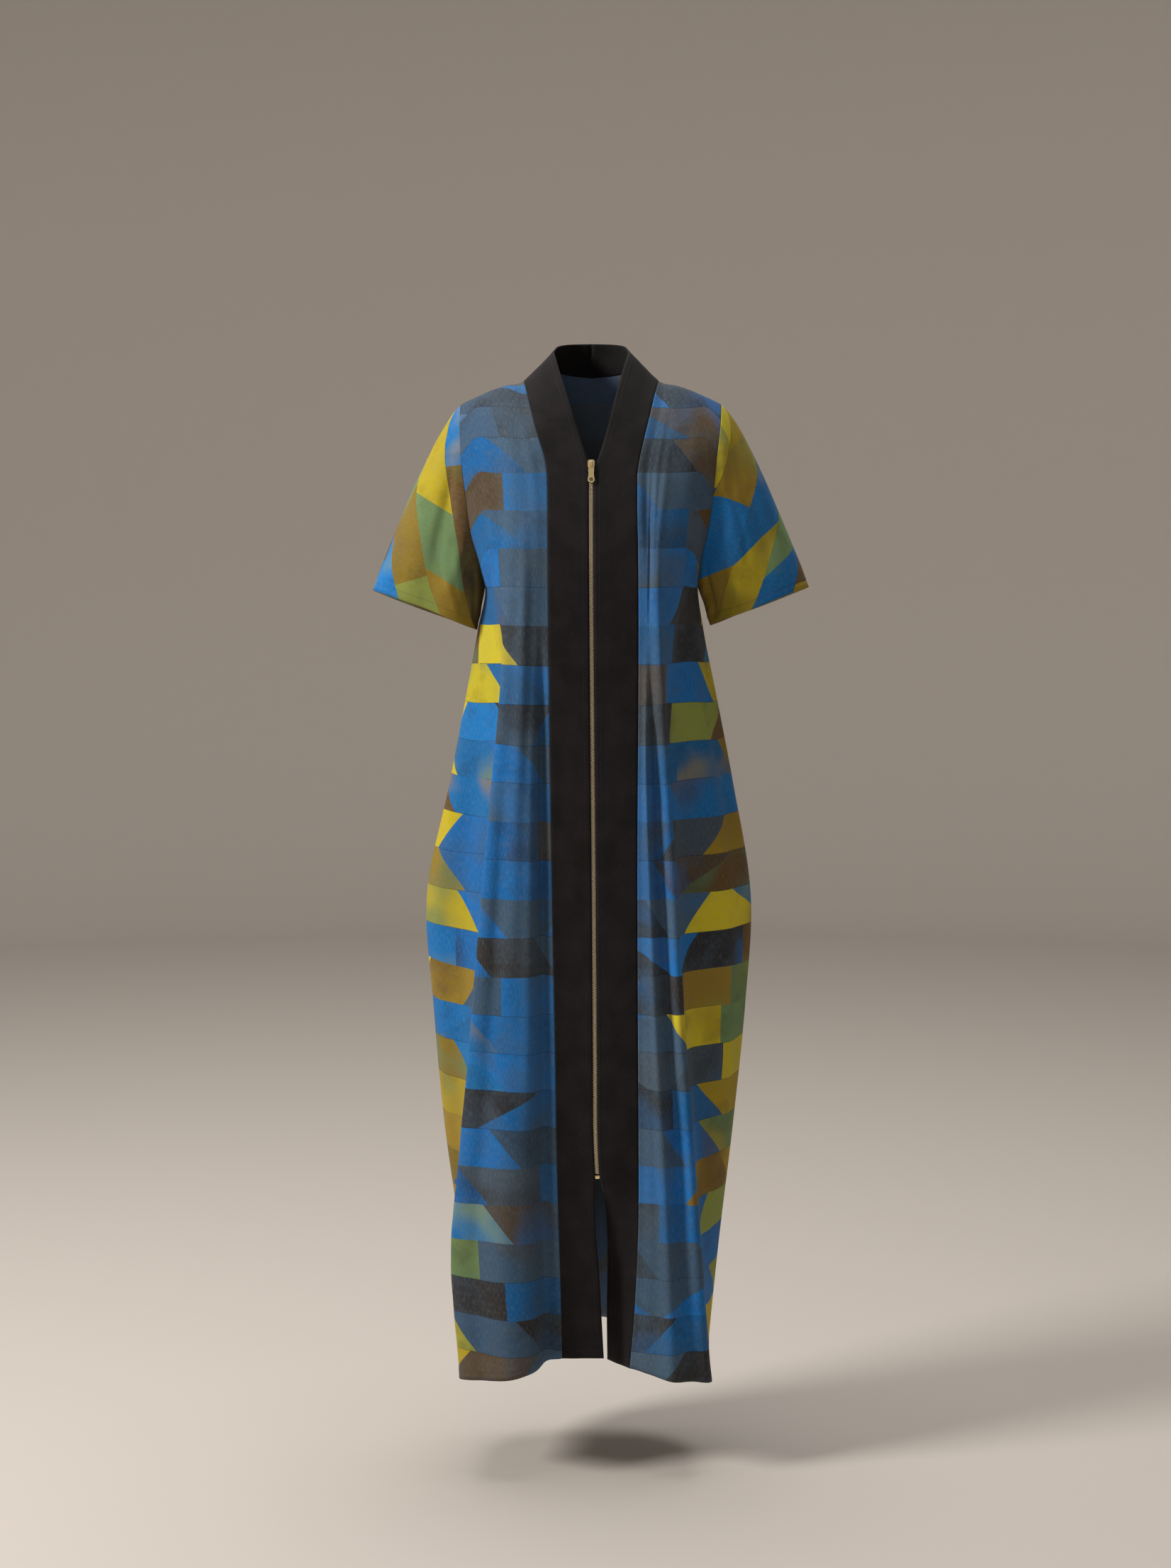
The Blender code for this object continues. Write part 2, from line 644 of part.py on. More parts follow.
def placed(drop, points):
    """Points given across, down and out of the zip at a drop, in the dress's frame."""
    origin, way, out = zip_frame(drop)
    across = np.cross(out, way)
    across = across * np.sign(across[0])
    points = np.asarray(points, float)
    return origin + points[:, :1] * across + points[:, 1:2] * way + points[:, 2:] * out


def prism(name, outline, low, high, axis, drop, at=None):
    """A prism on a flat outline, its two flat axes and its long one given by their order in across, down, out."""
    count = len(outline)
    flat = [i for i in range(3) if i != axis]
    points = np.zeros((2 * count, 3))
    points[:count, flat] = outline
    points[count:, flat] = outline
    points[:count, axis] = low
    points[count:, axis] = high
    faces = [tuple(range(count)), tuple(range(2 * count - 1, count - 1, -1))]
    faces += [(k, (k + 1) % count, count + (k + 1) % count, count + k) for k in range(count)]
    world = placed(drop, points)
    return mesh_object(name, world, faces, at if at is not None else (0.0, 0.0, 0.0))


def combine(obj, other, way):
    """Adds or cuts the other body, which is then kept only as a hidden tool."""
    mod = obj.modifiers.new(other.name, "BOOLEAN")
    mod.operation = way
    mod.solver = "EXACT"
    mod.object = other
    other.hide_render = True
    other.display_type = "WIRE"


def arc(middle, radius, start, end, count):
    angles = np.radians(np.linspace(start, end, count))
    return [(middle[0] + radius * math.cos(a), middle[1] + radius * math.sin(a)) for a in angles]


def chain(rows):
    """The closed chain as one flat strip, chamfered along its edges, bending where the bands beside it do."""
    drops = np.concatenate([[CHAIN_TOP], rows[(rows > CHAIN_TOP) & (rows < CHAIN_FOOT)], [CHAIN_FOOT]])
    w, t = CHAIN_WIDTH / 2, CHAIN_THICKNESS / 2
    section = np.array(
        [(-w, 0, -t + 0.0004), (-w + 0.0006, 0, -t), (w - 0.0006, 0, -t), (w, 0, -t + 0.0004),
         (w, 0, t - 0.0004), (w - 0.0006, 0, t), (-w + 0.0006, 0, t), (-w, 0, t - 0.0004)]
    )
    section[:, 2] -= CHAIN_SUNK
    points = np.concatenate([placed(d, section) for d in drops])
    count = len(section)
    faces = [tuple(range(count)), tuple(range(len(points) - 1, len(points) - count - 1, -1))]
    for j in range(len(drops) - 1):
        for k in range(count):
            a, b = j * count + k, j * count + (k + 1) % count
            faces.append((a, b, b + count, a + count))
    painted(mesh_object("zip_chain", points, faces), (0.38, 0.31, 0.22), 0.4, 0.8)


def slider():
    """The slider: a wide front plate, a narrow back plate, the wedge that joins them and the bridge."""
    front = [(-0.0030, -0.0062), (0.0030, -0.0062), (0.0046, -0.0040), (0.0046, 0.0010), (0.0036, 0.0056),
             (-0.0036, 0.0056), (-0.0046, 0.0010), (-0.0046, -0.0040)]
    body = prism("zip_slider", front, 0.0006, 0.0020, 2, SLIDER_DROP)
    back = [(-0.0024, -0.0060), (0.0024, -0.0060), (0.0024, 0.0050), (-0.0024, 0.0050)]
    back = prism("slider_back_tool", back, -0.0030, -0.0018, 2, SLIDER_DROP)
    wedge = [(-0.0018, -0.0058), (0.0018, -0.0058), (0.0012, 0.0), (-0.0012, 0.0)]
    wedge = prism("slider_wedge_tool", wedge, -0.0026, 0.0012, 2, SLIDER_DROP)
    bridge = [(-0.0040, 0.0015), (-0.0040, 0.0038), (-0.0028, 0.0052), (0.0028, 0.0052), (0.0040, 0.0038),
              (0.0040, 0.0015), (0.0028, 0.0015), (0.0028, 0.0034), (0.0020, 0.0041), (-0.0020, 0.0041),
              (-0.0028, 0.0034), (-0.0028, 0.0015)]
    bridge = prism("slider_bridge_tool", bridge, -0.0011, 0.0011, 0, SLIDER_DROP)
    for other in (back, wedge, bridge):
        combine(body, other, "UNION")
    painted(body, (0.58, 0.43, 0.16), 0.3, 1.0)


def pull_tab():
    """The tab hangs on its crossbar under the bridge; its origin is on the crossbar's axis."""
    height = 0.0031
    pivot = placed(SLIDER_DROP, [(0.0, 0.0, height)])[0]
    low, high = height - TAB_THICKNESS / 2, height + TAB_THICKNESS / 2
    end = TAB_LENGTH - 0.0046
    half = [(0.0031, -0.0006), (0.0033, 0.0055), (0.0040, 0.0085), (0.0034, 0.0125), (0.0038, 0.0165),
            (0.0046, end)]
    outline = half + arc((0.0, end), 0.0046, 12, 168, 14) + [(-x, y) for x, y in half[::-1]]
    tab = prism("zip_pull_tab", outline, low, high, 2, SLIDER_DROP, pivot)
    eye = [(-0.0019, 0.0006), (0.0019, 0.0006), (0.0019, 0.0058), (-0.0019, 0.0058)]
    eye = prism("tab_eye_tool", eye, low - 0.001, high + 0.001, 2, SLIDER_DROP)
    hole = prism(
        "tab_hole_tool", arc((0.0, end), 0.0026, 0, 345, 24), low - 0.001, high + 0.001, 2, SLIDER_DROP
    )
    combine(tab, eye, "DIFFERENCE")
    combine(tab, hole, "DIFFERENCE")
    painted(tab, (0.58, 0.43, 0.16), 0.3, 1.0)


def bottom_stop():
    outline = [(-0.0029, 0.0), (0.0029, 0.0), (0.0029, 0.0030), (0.0020, 0.0042), (-0.0020, 0.0042),
               (-0.0029, 0.0030)]
    stop = prism("zip_stop_bottom", outline, -0.0018, 0.0009, 2, CHAIN_FOOT + SEAM_GAP)
    painted(stop, (0.55, 0.45, 0.25), 0.35, 1.0)


for old in list(bpy.data.objects):
    bpy.data.objects.remove(old, do_unlink=True)

chain(cloth())
slider()
pull_tab()
bottom_stop()
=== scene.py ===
# %% [markdown] # A zip-front kaftan dress in its worn shape  The dress is a few large pieces of light printed
# cloth sewn together, with a dark band and a metal zip down the front. It hangs as it does on a wearer, but
# nobody is inside. The solids in the frame give its size and its collision walls. This lesson lays fine cloth
# over them, then adds the stitching, the zip's teeth and the finishes.

# %% Load the frame
import math

import bpy
import numpy as np
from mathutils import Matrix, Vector


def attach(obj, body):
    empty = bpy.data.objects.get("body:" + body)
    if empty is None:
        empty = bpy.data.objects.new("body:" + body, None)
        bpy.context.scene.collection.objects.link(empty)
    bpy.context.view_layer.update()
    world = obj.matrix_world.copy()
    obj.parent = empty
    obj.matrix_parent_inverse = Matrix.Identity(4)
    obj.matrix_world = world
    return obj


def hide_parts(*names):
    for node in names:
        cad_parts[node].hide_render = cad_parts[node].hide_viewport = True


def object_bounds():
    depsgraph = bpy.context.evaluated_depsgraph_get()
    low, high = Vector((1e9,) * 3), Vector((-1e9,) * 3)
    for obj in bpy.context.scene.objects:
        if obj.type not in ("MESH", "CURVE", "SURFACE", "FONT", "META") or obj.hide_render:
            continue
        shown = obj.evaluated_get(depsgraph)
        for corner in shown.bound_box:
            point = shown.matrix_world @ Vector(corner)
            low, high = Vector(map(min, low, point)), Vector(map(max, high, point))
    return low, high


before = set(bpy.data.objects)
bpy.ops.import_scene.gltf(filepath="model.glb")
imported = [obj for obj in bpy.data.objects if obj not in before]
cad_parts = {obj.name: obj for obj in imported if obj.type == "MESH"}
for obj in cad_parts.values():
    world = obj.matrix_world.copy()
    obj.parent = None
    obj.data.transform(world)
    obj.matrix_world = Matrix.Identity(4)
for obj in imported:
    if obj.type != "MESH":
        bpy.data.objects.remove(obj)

low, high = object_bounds()
size_at_start = [round(float(h - l), 4) for l, h in zip(low, high)]
print("the solids measure", size_at_start, "m and have", len(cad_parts), "nodes")

# %% [markdown]
# ## The shape of a worn dress
#
# A dress has no simple outline, but each level of it does: a horizontal section through it is a closed curve.
# Tables of those sections, read smoothly from row to row, are an easy form to check against a photo, because
# a row is one height. Sculpting would also work, but the cloth would no longer have known sizes. The tables
# and the functions that read them are the ones behind the solids, so that the cloth lies on the solids' walls.

# %% Depths and widths of the body
# The wearer's two sides, as the sign of X
RIGHT, LEFT = -1.0, 1.0


def table(names, *rows):
    """Named columns from rows of numbers."""
    columns = np.array(rows, float).T
    return dict(zip(names.split(), columns))


# Drop below the neck, then how far the cloth stands before and behind the shoulder line
DEPTHS = table(
    "drop front back",
    (-0.02, 0.040, 0.068),
    (0.03, 0.055, 0.079),
    (0.06, 0.066, 0.085),
    (0.10, 0.080, 0.092),
    (0.15, 0.097, 0.100),
    (0.20, 0.113, 0.104),
    (0.25, 0.124, 0.105),
    (0.315, 0.130, 0.104),
    (0.37, 0.130, 0.101),
    (0.455, 0.128, 0.099),
    (0.58, 0.126, 0.104),
    (0.735, 0.126, 0.114),
    (0.88, 0.124, 0.120),
    (1.04, 0.119, 0.122),
    (1.20, 0.111, 0.122),
    (1.38, 0.099, 0.122),
)

# Half widths at the armhole seams, then at the side seams
SIDES = table(
    "drop right left",
    (-0.05, 0.176, 0.175),
    (0.0715, 0.175, 0.174),
    (0.10, 0.1745, 0.1715),
    (0.15, 0.1715, 0.1655),
    (0.20, 0.1655, 0.1605),
    (0.25, 0.1585, 0.1525),
    (0.29, 0.148, 0.1445),
    (0.315, 0.143, 0.1435),
    (0.37, 0.1525, 0.151),
    (0.455, 0.168, 0.168),
    (0.58, 0.192, 0.1925),
    (0.735, 0.2235, 0.217),
    (0.88, 0.215, 0.210),
    (1.04, 0.201, 0.1945),
    (1.20, 0.180, 0.176),
    (1.38, 0.164, 0.158),
)

print("the body is", round(float((SIDES["right"] + SIDES["left"]).max()), 4), "m wide at its widest level")

# %% [markdown]
# ## The lines of the fronts
#
# From its band to its side seam, a front runs over a flat face, out to the crest of one long side fold, and back
# into the hollow behind it. Each of those lines can be followed down the dress in the photo, so each has columns
# of its own. The two fronts hang differently, so they have a table each. The hem is five drops on the same lines.

# %% Lines of the fronts and their hems
# The middle of a front's face, the crest of its long side fold, and the hollow behind the crest
FRONT_COLUMNS = "drop middle_y crest_x crest_y hollow_x hollow_y"
FRONT = {}
FRONT[RIGHT] = table(
    FRONT_COLUMNS,
    (0.02, 0.060, 0.118, 0.058, 0.148, 0.056),
    (0.07, 0.070, 0.117, 0.067, 0.147, 0.063),
    (0.10, 0.080, 0.116, 0.075, 0.147, 0.067),
    (0.15, 0.096, 0.113, 0.089, 0.144, 0.076),
    (0.20, 0.111, 0.111, 0.102, 0.140, 0.085),
    (0.25, 0.122, 0.110, 0.112, 0.135, 0.090),
    (0.315, 0.129, 0.111, 0.119, 0.129, 0.088),
    (0.37, 0.130, 0.114, 0.121, 0.123, 0.084),
    (0.455, 0.130, 0.119, 0.124, 0.118, 0.080),
    (0.58, 0.130, 0.131, 0.127, 0.127, 0.080),
    (0.735, 0.131, 0.1445, 0.129, 0.139, 0.082),
    (0.88, 0.132, 0.156, 0.129, 0.151, 0.084),
    (1.04, 0.132, 0.171, 0.124, 0.164, 0.080),
    (1.20, 0.129, 0.184, 0.108, 0.175, 0.062),
    (1.38, 0.127, 0.174, 0.098, 0.168, 0.050),
)
FRONT[LEFT] = table(
    FRONT_COLUMNS,
    (0.02, 0.060, 0.118, 0.058, 0.148, 0.056),
    (0.07, 0.070, 0.116, 0.067, 0.146, 0.063),
    (0.10, 0.080, 0.113, 0.076, 0.145, 0.067),
    (0.15, 0.096, 0.106, 0.092, 0.139, 0.078),
    (0.20, 0.112, 0.100, 0.108, 0.132, 0.088),
    (0.25, 0.124, 0.095, 0.120, 0.126, 0.094),
    (0.315, 0.131, 0.092, 0.129, 0.118, 0.092),
    (0.37, 0.131, 0.092, 0.131, 0.111, 0.094),
    (0.455, 0.131, 0.095, 0.132, 0.106, 0.098),
    (0.58, 0.131, 0.103, 0.131, 0.112, 0.100),
    (0.735, 0.131, 0.113, 0.130, 0.121, 0.100),
    (0.88, 0.130, 0.121, 0.129, 0.129, 0.099),
    (1.04, 0.127, 0.133, 0.126, 0.139, 0.094),
    (1.20, 0.124, 0.143, 0.121, 0.149, 0.084),
    (1.38, 0.121, 0.157, 0.108, 0.160, 0.062),
)

# Drop of the front hem at the band seam, the face's middle, the crest, the hollow and the side seam
HEM = {RIGHT: (1.345, 1.364, 1.374, 1.374, 1.374), LEFT: (1.359, 1.369, 1.376, 1.377, 1.378)}
HEM_CENTRE_BACK = 1.348
print("the front hem hangs", max(HEM[LEFT]), "m below the neck")

# %% [markdown]
# ## The lines of the bands, the neck and the zip
#
# A band is one long strip. Its outer edge is sewn to the front. Its inner edge is free at the V, zipped from the
# chest to the slit, and free again below. Behind the neck the two bands stand up and meet. A line that two pieces
# share is written once and read by both, because two copies of a seam could leave a gap.

# %% Lines of the bands, the neck, the shoulders and the zip
# The bands from the shoulder to the hem: their seam with the front, and their free or zipped edge
BAND_LINES = "drop seam_x inner_drop inner_x inner_back"
BAND = {}
BAND[RIGHT] = table(
    BAND_LINES,
    (0.0395, -0.0905, 0.000, -0.0507, 0.0),
    (0.055, -0.0862, 0.024, -0.0439, 0.0),
    (0.085, -0.0788, 0.060, -0.0326, 0.0),
    (0.12, -0.0690, 0.100, -0.0206, 0.0),
    (0.145, -0.0612, 0.130, -0.0112, 0.0),
    (0.165, -0.0582, 0.153, -0.0046, 0.0),
    (0.185, -0.0574, 0.180, -0.0034, 0.0),
    (0.21, -0.0570, 0.210, -0.0034, 0.0),
    (0.25, -0.0567, 0.250, -0.0034, 0.0),
    (0.73, -0.0514, 0.730, 0.0003, 0.0),
    (0.97, -0.0471, 0.970, 0.0019, 0.0),
    (1.04, -0.0463, 1.040, 0.0024, 0.0),
    (1.10, -0.0450, 1.100, 0.0050, 0.0),
    (1.12, -0.0446, 1.120, 0.0047, 0.0),
    (1.175, -0.0430, 1.175, 0.0064, 0.0),
    (1.22, -0.0417, 1.220, 0.0100, 0.0),
    (1.28, -0.0402, 1.280, 0.0133, 0.0),
    (1.345, -0.0389, 1.3445, 0.0168, 0.0),
)
BAND[LEFT] = table(
    BAND_LINES,
    (0.0395, 0.0905, 0.000, 0.0507, 0.0),
    (0.055, 0.0855, 0.024, 0.0431, 0.0),
    (0.085, 0.0781, 0.060, 0.0327, 0.0),
    (0.12, 0.0692, 0.100, 0.0227, 0.0),
    (0.145, 0.0636, 0.130, 0.0140, 0.0),
    (0.165, 0.0603, 0.155, 0.0062, 0.0),
    (0.185, 0.0600, 0.180, 0.0030, 0.0),
    (0.21, 0.0598, 0.210, 0.0028, 0.0),
    (0.25, 0.0605, 0.250, 0.0028, 0.0),
    (0.73, 0.0605, 0.730, 0.0065, 0.0),
    (0.97, 0.0620, 0.970, 0.0081, 0.0),
    (1.04, 0.0626, 1.040, 0.0086, 0.0),
    (1.10, 0.0629, 1.100, 0.0116, 0.0),
    (1.12, 0.0629, 1.120, 0.0165, 0.006),
    (1.175, 0.0622, 1.175, 0.0210, 0.018),
    (1.22, 0.0606, 1.220, 0.0217, 0.026),
    (1.28, 0.0577, 1.278, 0.0209, 0.032),
    (1.359, 0.0515, 1.356, 0.0217, 0.035),
)

# The back neck from its centre to the neck side: the band's seam, then its standing top edge
BACK_NECK = table(
    "seam_x seam_drop top_x top_y top_rise",
    (0.0, 0.030, 0.0, 0.052, 0.014),
    (0.026, 0.028, 0.018, 0.049, 0.0135),
    (0.050, 0.025, 0.034, 0.040, 0.012),
    (0.072, 0.0265, 0.046, 0.024, 0.008),
    (0.0905, 0.0395, 0.0507, 0.0, 0.0),
)

# The line of the shoulders, from the neck's axis outwards
SHOULDER = table(
    "x drop",
    (0.0, -0.050),
    (0.0507, 0.0),
    (0.072, 0.0215),
    (0.0905, 0.0395),
    (0.115, 0.0455),
    (0.130, 0.0505),
    (0.150, 0.0590),
    (0.170, 0.0685),
    (0.176, 0.0720),
)

# The middle line of the zip's chain
CHAIN = table(
    "drop x",
    (0.10, -0.0003),
    (0.25, -0.0003),
    (0.73, 0.0034),
    (0.97, 0.0050),
    (1.04, 0.0055),
    (1.10, 0.0083),
)
print("a band is", round(float(BAND[LEFT]["seam_x"][8] - BAND[LEFT]["inner_x"][8]), 4), "m wide at the chest")

# %% [markdown]
# ## Folds
#
# Cloth that hangs from a shoulder or a seam falls in soft troughs and ridges. Each row here is one of them, placed
# where the photo shows it or where cloth hung like this would have one. The first rows of each table are
# the large folds that give the outline, and the rest are small ones that break up the light. A cloth simulation
# could make folds too, but it would move the large ones that the photo shows.

# %% Fold tables
# Place across the piece at the top and foot, drops of the top and foot, width, and depth (below 0 for a trough)
FOLD_COLUMNS = "place_top place_foot from_drop to_drop width depth"
FRONT_FOLDS = {}
FRONT_FOLDS[RIGHT] = table(
    FOLD_COLUMNS,
    (0.26, 0.30, 0.34, 1.50, 0.18, -0.0100),
    (0.66, 0.64, 0.40, 1.50, 0.20, 0.0040),
    (1.15, 1.10, 0.16, 0.95, 0.25, 0.0050),
    (1.05, 1.00, 0.85, 1.60, 0.30, 0.0060),
    (3.45, 3.40, 0.42, 1.30, 0.20, -0.0050),
    (3.75, 3.70, 0.50, 1.20, 0.12, 0.0030),
    (0.35, 0.32, 0.035, 0.24, 0.22, -0.0026),
    (0.14, 0.14, 0.400, 1.60, 0.16, -0.0030),
    (0.85, 0.85, 0.450, 1.60, 0.45, 0.0045),
    (1.10, 0.95, 0.045, 0.30, 0.30, -0.0030),
    (1.75, 1.60, 0.050, 0.36, 0.30, 0.0022),
    (2.45, 2.30, 0.060, 0.40, 0.32, -0.0028),
    (3.30, 3.05, 0.100, 0.42, 0.26, -0.0030),
    (1.45, 1.52, 0.520, 1.50, 0.16, -0.0028),
    (2.55, 2.62, 0.500, 1.30, 0.16, -0.0020),
    (3.55, 3.30, 0.400, 0.95, 0.14, -0.0026),
)
FRONT_FOLDS[LEFT] = table(
    FOLD_COLUMNS,
    (0.30, 0.60, 0.05, 0.34, 0.22, -0.0055),
    (1.00, 0.80, 0.05, 0.42, 0.22, -0.0050),
    (0.40, 1.22, 0.36, 1.50, 0.24, 0.0070),
    (0.92, 1.72, 0.36, 1.50, 0.28, -0.0100),
    (3.45, 3.60, 0.36, 1.10, 0.16, 0.0080),
    (3.15, 3.20, 0.45, 1.20, 0.16, -0.0060),
    (0.55, 0.78, 0.030, 0.30, 0.24, -0.0034),
    (1.05, 1.10, 0.040, 0.26, 0.20, 0.0026),
    (1.45, 1.35, 0.045, 0.33, 0.26, -0.0030),
    (2.10, 1.95, 0.055, 0.34, 0.28, -0.0024),
    (2.80, 2.75, 0.070, 0.38, 0.30, 0.0028),
    (3.35, 3.20, 0.110, 0.44, 0.22, -0.0034),
    (0.35, 0.40, 0.480, 1.50, 0.18, 0.0014),
    (1.35, 1.30, 0.420, 1.50, 0.22, -0.0024),
    (1.75, 1.70, 0.650, 1.50, 0.18, 0.0014),
    (2.60, 2.70, 0.430, 1.20, 0.16, -0.0028),
    (3.72, 3.66, 0.420, 1.00, 0.12, -0.0024),
)

# On the back, the place is the share of its half width
BACK_FOLDS = table(
    FOLD_COLUMNS,
    (-0.62, -0.70, 0.24, 1.50, 0.085, 0.0100),
    (-0.36, -0.40, 0.16, 1.50, 0.085, -0.0080),
    (-0.10, -0.12, 0.30, 1.50, 0.090, 0.0070),
    (0.18, 0.22, 0.20, 1.50, 0.085, -0.0080),
    (0.45, 0.48, 0.18, 1.50, 0.090, 0.0090),
    (0.70, 0.76, 0.30, 1.50, 0.075, -0.0080),
    (-0.80, -0.84, 0.130, 0.90, 0.045, -0.0032),
    (-0.50, -0.56, 0.300, 1.50, 0.040, 0.0034),
    (-0.24, -0.27, 0.120, 0.80, 0.040, 0.0028),
    (-0.02, 0.03, 0.420, 1.50, 0.040, -0.0030),
    (0.09, 0.12, 0.100, 0.70, 0.036, -0.0022),
    (0.33, 0.36, 0.300, 1.50, 0.040, 0.0032),
    (0.58, 0.62, 0.140, 1.00, 0.042, -0.0034),
    (0.86, 0.88, 0.350, 1.20, 0.040, 0.0028),
)

# On a sleeve, the place is the share around it from the shoulder over the front, and a drop is the share along it
SMALL_SLEEVE_FOLDS = (
    (0.06, 0.10, 0.02, 0.60, 0.020, -0.0018),
    (0.17, 0.24, 0.04, 0.75, 0.022, -0.0026),
    (0.31, 0.29, 0.05, 0.90, 0.020, 0.0022),
    (0.37, 0.45, 0.04, 0.95, 0.020, -0.0030),
    (0.55, 0.58, 0.05, 0.90, 0.022, -0.0026),
    (0.80, 0.76, 0.04, 0.80, 0.022, -0.0026),
    (0.93, 0.90, 0.02, 0.60, 0.020, -0.0018),
)
SLEEVE_FOLDS = {}
SLEEVE_FOLDS[RIGHT] = table(
    FOLD_COLUMNS,
    (0.20, 0.27, 0.10, 1.20, 0.050, -0.0050),
    (0.33, 0.36, 0.25, 1.20, 0.050, 0.0040),
    (0.70, 0.66, 0.10, 1.20, 0.055, -0.0050),
    (0.85, 0.86, 0.20, 1.20, 0.050, 0.0040),
    *SMALL_SLEEVE_FOLDS,
)
SLEEVE_FOLDS[LEFT] = table(
    FOLD_COLUMNS,
    (0.14, 0.16, 0.05, 0.90, 0.045, -0.0060),
    (0.27, 0.30, 0.15, 1.20, 0.055, 0.0050),
    (0.42, 0.40, 0.20, 1.20, 0.045, -0.0050),
    (0.72, 0.68, 0.10, 1.20, 0.055, -0.0050),
    *SMALL_SLEEVE_FOLDS,
)
tables = (*FRONT_FOLDS.values(), BACK_FOLDS, *SLEEVE_FOLDS.values())
print("folds placed by hand:", sum(len(folds["depth"]) for folds in tables))

# %% [markdown]
# ## Reading between the rows
#
# A seamstress draws a smooth line through a few measured points with a curved ruler. Two kinds of cubic curve do
# the same here: one runs down a table, and one runs across a level, through its lines. Straight pieces between
# the rows would leave a crease at every row. Both work on whole arrays, so one call reads a whole piece.

# %% Curves through the tables
def read(rows, name, at, key="drop"):
    """A column read between its rows on a cubic that takes each row's mean slope."""
    places, values = rows[key], rows[name]
    slopes = np.gradient(values, places)
    at = np.clip(at, places[0], places[-1])
    k = np.clip(np.searchsorted(places, at, side="right") - 1, 0, len(places) - 2)
    step = places[k + 1] - places[k]
    t = (at - places[k]) / step
    start = (1 + 2 * t) * (1 - t) ** 2 * values[k] + t * (1 - t) ** 2 * step * slopes[k]
    end = t * t * (3 - 2 * t) * values[k + 1] + t * t * (t - 1) * step * slopes[k + 1]
    return start + end


def ease(t):
    """0 to 1 with level ends."""
    t = np.clip(t, 0.0, 1.0)
    return t * t * (3.0 - 2.0 * t)


def side_edge(side, drop):
    """How far out the armhole seam or the side seam lies at each drop."""
    return read(SIDES, "right" if side == RIGHT else "left", drop)


def through(lines, place):
    """A Catmull-Rom curve through the lines, the first and last of which only set the end slopes."""
    k = np.clip(np.floor(place).astype(int), 0, len(lines) - 4)
    t = place - k
    before, here, there, after = (
        np.take_along_axis(lines, (k + i)[None], axis=0)[0] for i in range(4)
    )
    return here + 0.5 * t * (
        there - before
        + t * (2 * before - 5 * here + 4 * there - after + t * (3 * (here - there) + after - before))
    )


print("half width at the waist, between two rows:", round(float(side_edge(LEFT, 0.41)), 4), "m")

# %% [markdown]
# ## One level of the body
#
# At the shoulder the cloth turns over from front to back, at the armhole it leaves room for the sleeve, and below
# the underarm it closes round the side. Two functions give the point of a front or of the back at any place and
# drop. They are kept apart from the grids below, so that the shape doesn't depend on how fine the mesh is.

# %% Points of the fronts and of the back
# How far below the shoulder line the cloth has turned to hang, and the armhole's top, foot and half depths
SHOULDER_ROLL = 0.122
SHOULDER_DROP = 0.0715
UNDERARM_DROP = 0.315
ARMHOLE_FRONT = 0.062
ARMHOLE_BACK = 0.060


def roll(x, drop):
    """How far the cloth has turned over the shoulder, 0 on the shoulder line and 1 once it hangs."""
    below = np.clip((drop - read(SHOULDER, "drop", np.abs(x), "x")) / SHOULDER_ROLL, 0.0, 1.0)
    return np.sqrt(1.0 - (1.0 - below) ** 2)


def armhole_depth(drop, depth):
    """Half depth of the armhole, closing round the underarm and 0 below it."""
    middle = (SHOULDER_DROP + UNDERARM_DROP) / 2
    down = np.clip((drop - middle) / (UNDERARM_DROP - middle), 0.0, 1.0)
    return depth * np.sqrt(1.0 - down**2)


def front_xy(side, place, drop):
    """A front's section at its own drop: band seam, face, crest, hollow and side seam are places 0 to 4."""
    rows = FRONT[side]
    depth = read(DEPTHS, "front", drop)
    seam = np.abs(read(BAND[side], "seam_x", drop))
    crest = read(rows, "crest_x", drop)
    edge = side_edge(side, drop)
    edge_y = armhole_depth(drop, ARMHOLE_FRONT)
    hollow_x, hollow_y = read(rows, "hollow_x", drop), read(rows, "hollow_y", drop)
    # Above the underarm the curve goes on into the sleeve; below it, it turns round the side to the back
    turned = ease((drop - 0.25) / 0.08)
    beyond_x = turned * hollow_x + (1 - turned) * (2 * edge - hollow_x)
    beyond_y = (1 - turned) * 2 * edge_y - hollow_y
    x = np.stack([seam * 0.1, seam, (seam + crest) / 2, crest, hollow_x, edge, beyond_x])
    y = np.stack(
        [depth, depth * 0.985, read(rows, "middle_y", drop), read(rows, "crest_y", drop),
         hollow_y, edge_y, beyond_y]
    )
    x = through(x, place)
    y = through(y, place)
    return side * x, -y * roll(x, drop)


def back_xy(side, share, drop):
    """The back's section at its own drop: depth times (1 - share^2.6) to the power of 0.5 where the side is closed,
    and of 0.8, on top of the armhole's depth, where a sleeve is set in."""
    x = side_edge(side, drop) * share
    depth = read(DEPTHS, "back", drop)
    bow = 1.0 - np.clip(share, 0.0, 1.0) ** 2.6
    sleeved = ARMHOLE_BACK + (depth - ARMHOLE_BACK) * bow**0.8
    closed = depth * np.sqrt(bow)
    near = share**6
    part = armhole_depth(drop, 1.0) * near + (1 - ease((drop - 0.20) / 0.20)) * (1 - near)
    y = closed + (sleeved - closed) * part
    return side * x, y * roll(x, drop)


waist = [float(part[0]) for part in front_xy(RIGHT, np.array([2.0]), np.array([0.4]))]
print("the crest of the right front's fold at the waist:", [round(part, 4) for part in waist])

# %% [markdown]
# ## Levels, normals and folds
#
# The rows of a grid lie close together at the shoulder and the underarm, where the shape changes fast, and wider
# apart down the skirt. A fold pushes the cloth out along its normal, the direction that faces straight away from
# it, so it goes on over the curve of the side. Moving points along Y alone would flatten the folds there.

# %% Rows of a sheet and its folds
ROWS_TO_UNDERARM = 56
ROWS_TO_HEM = 190
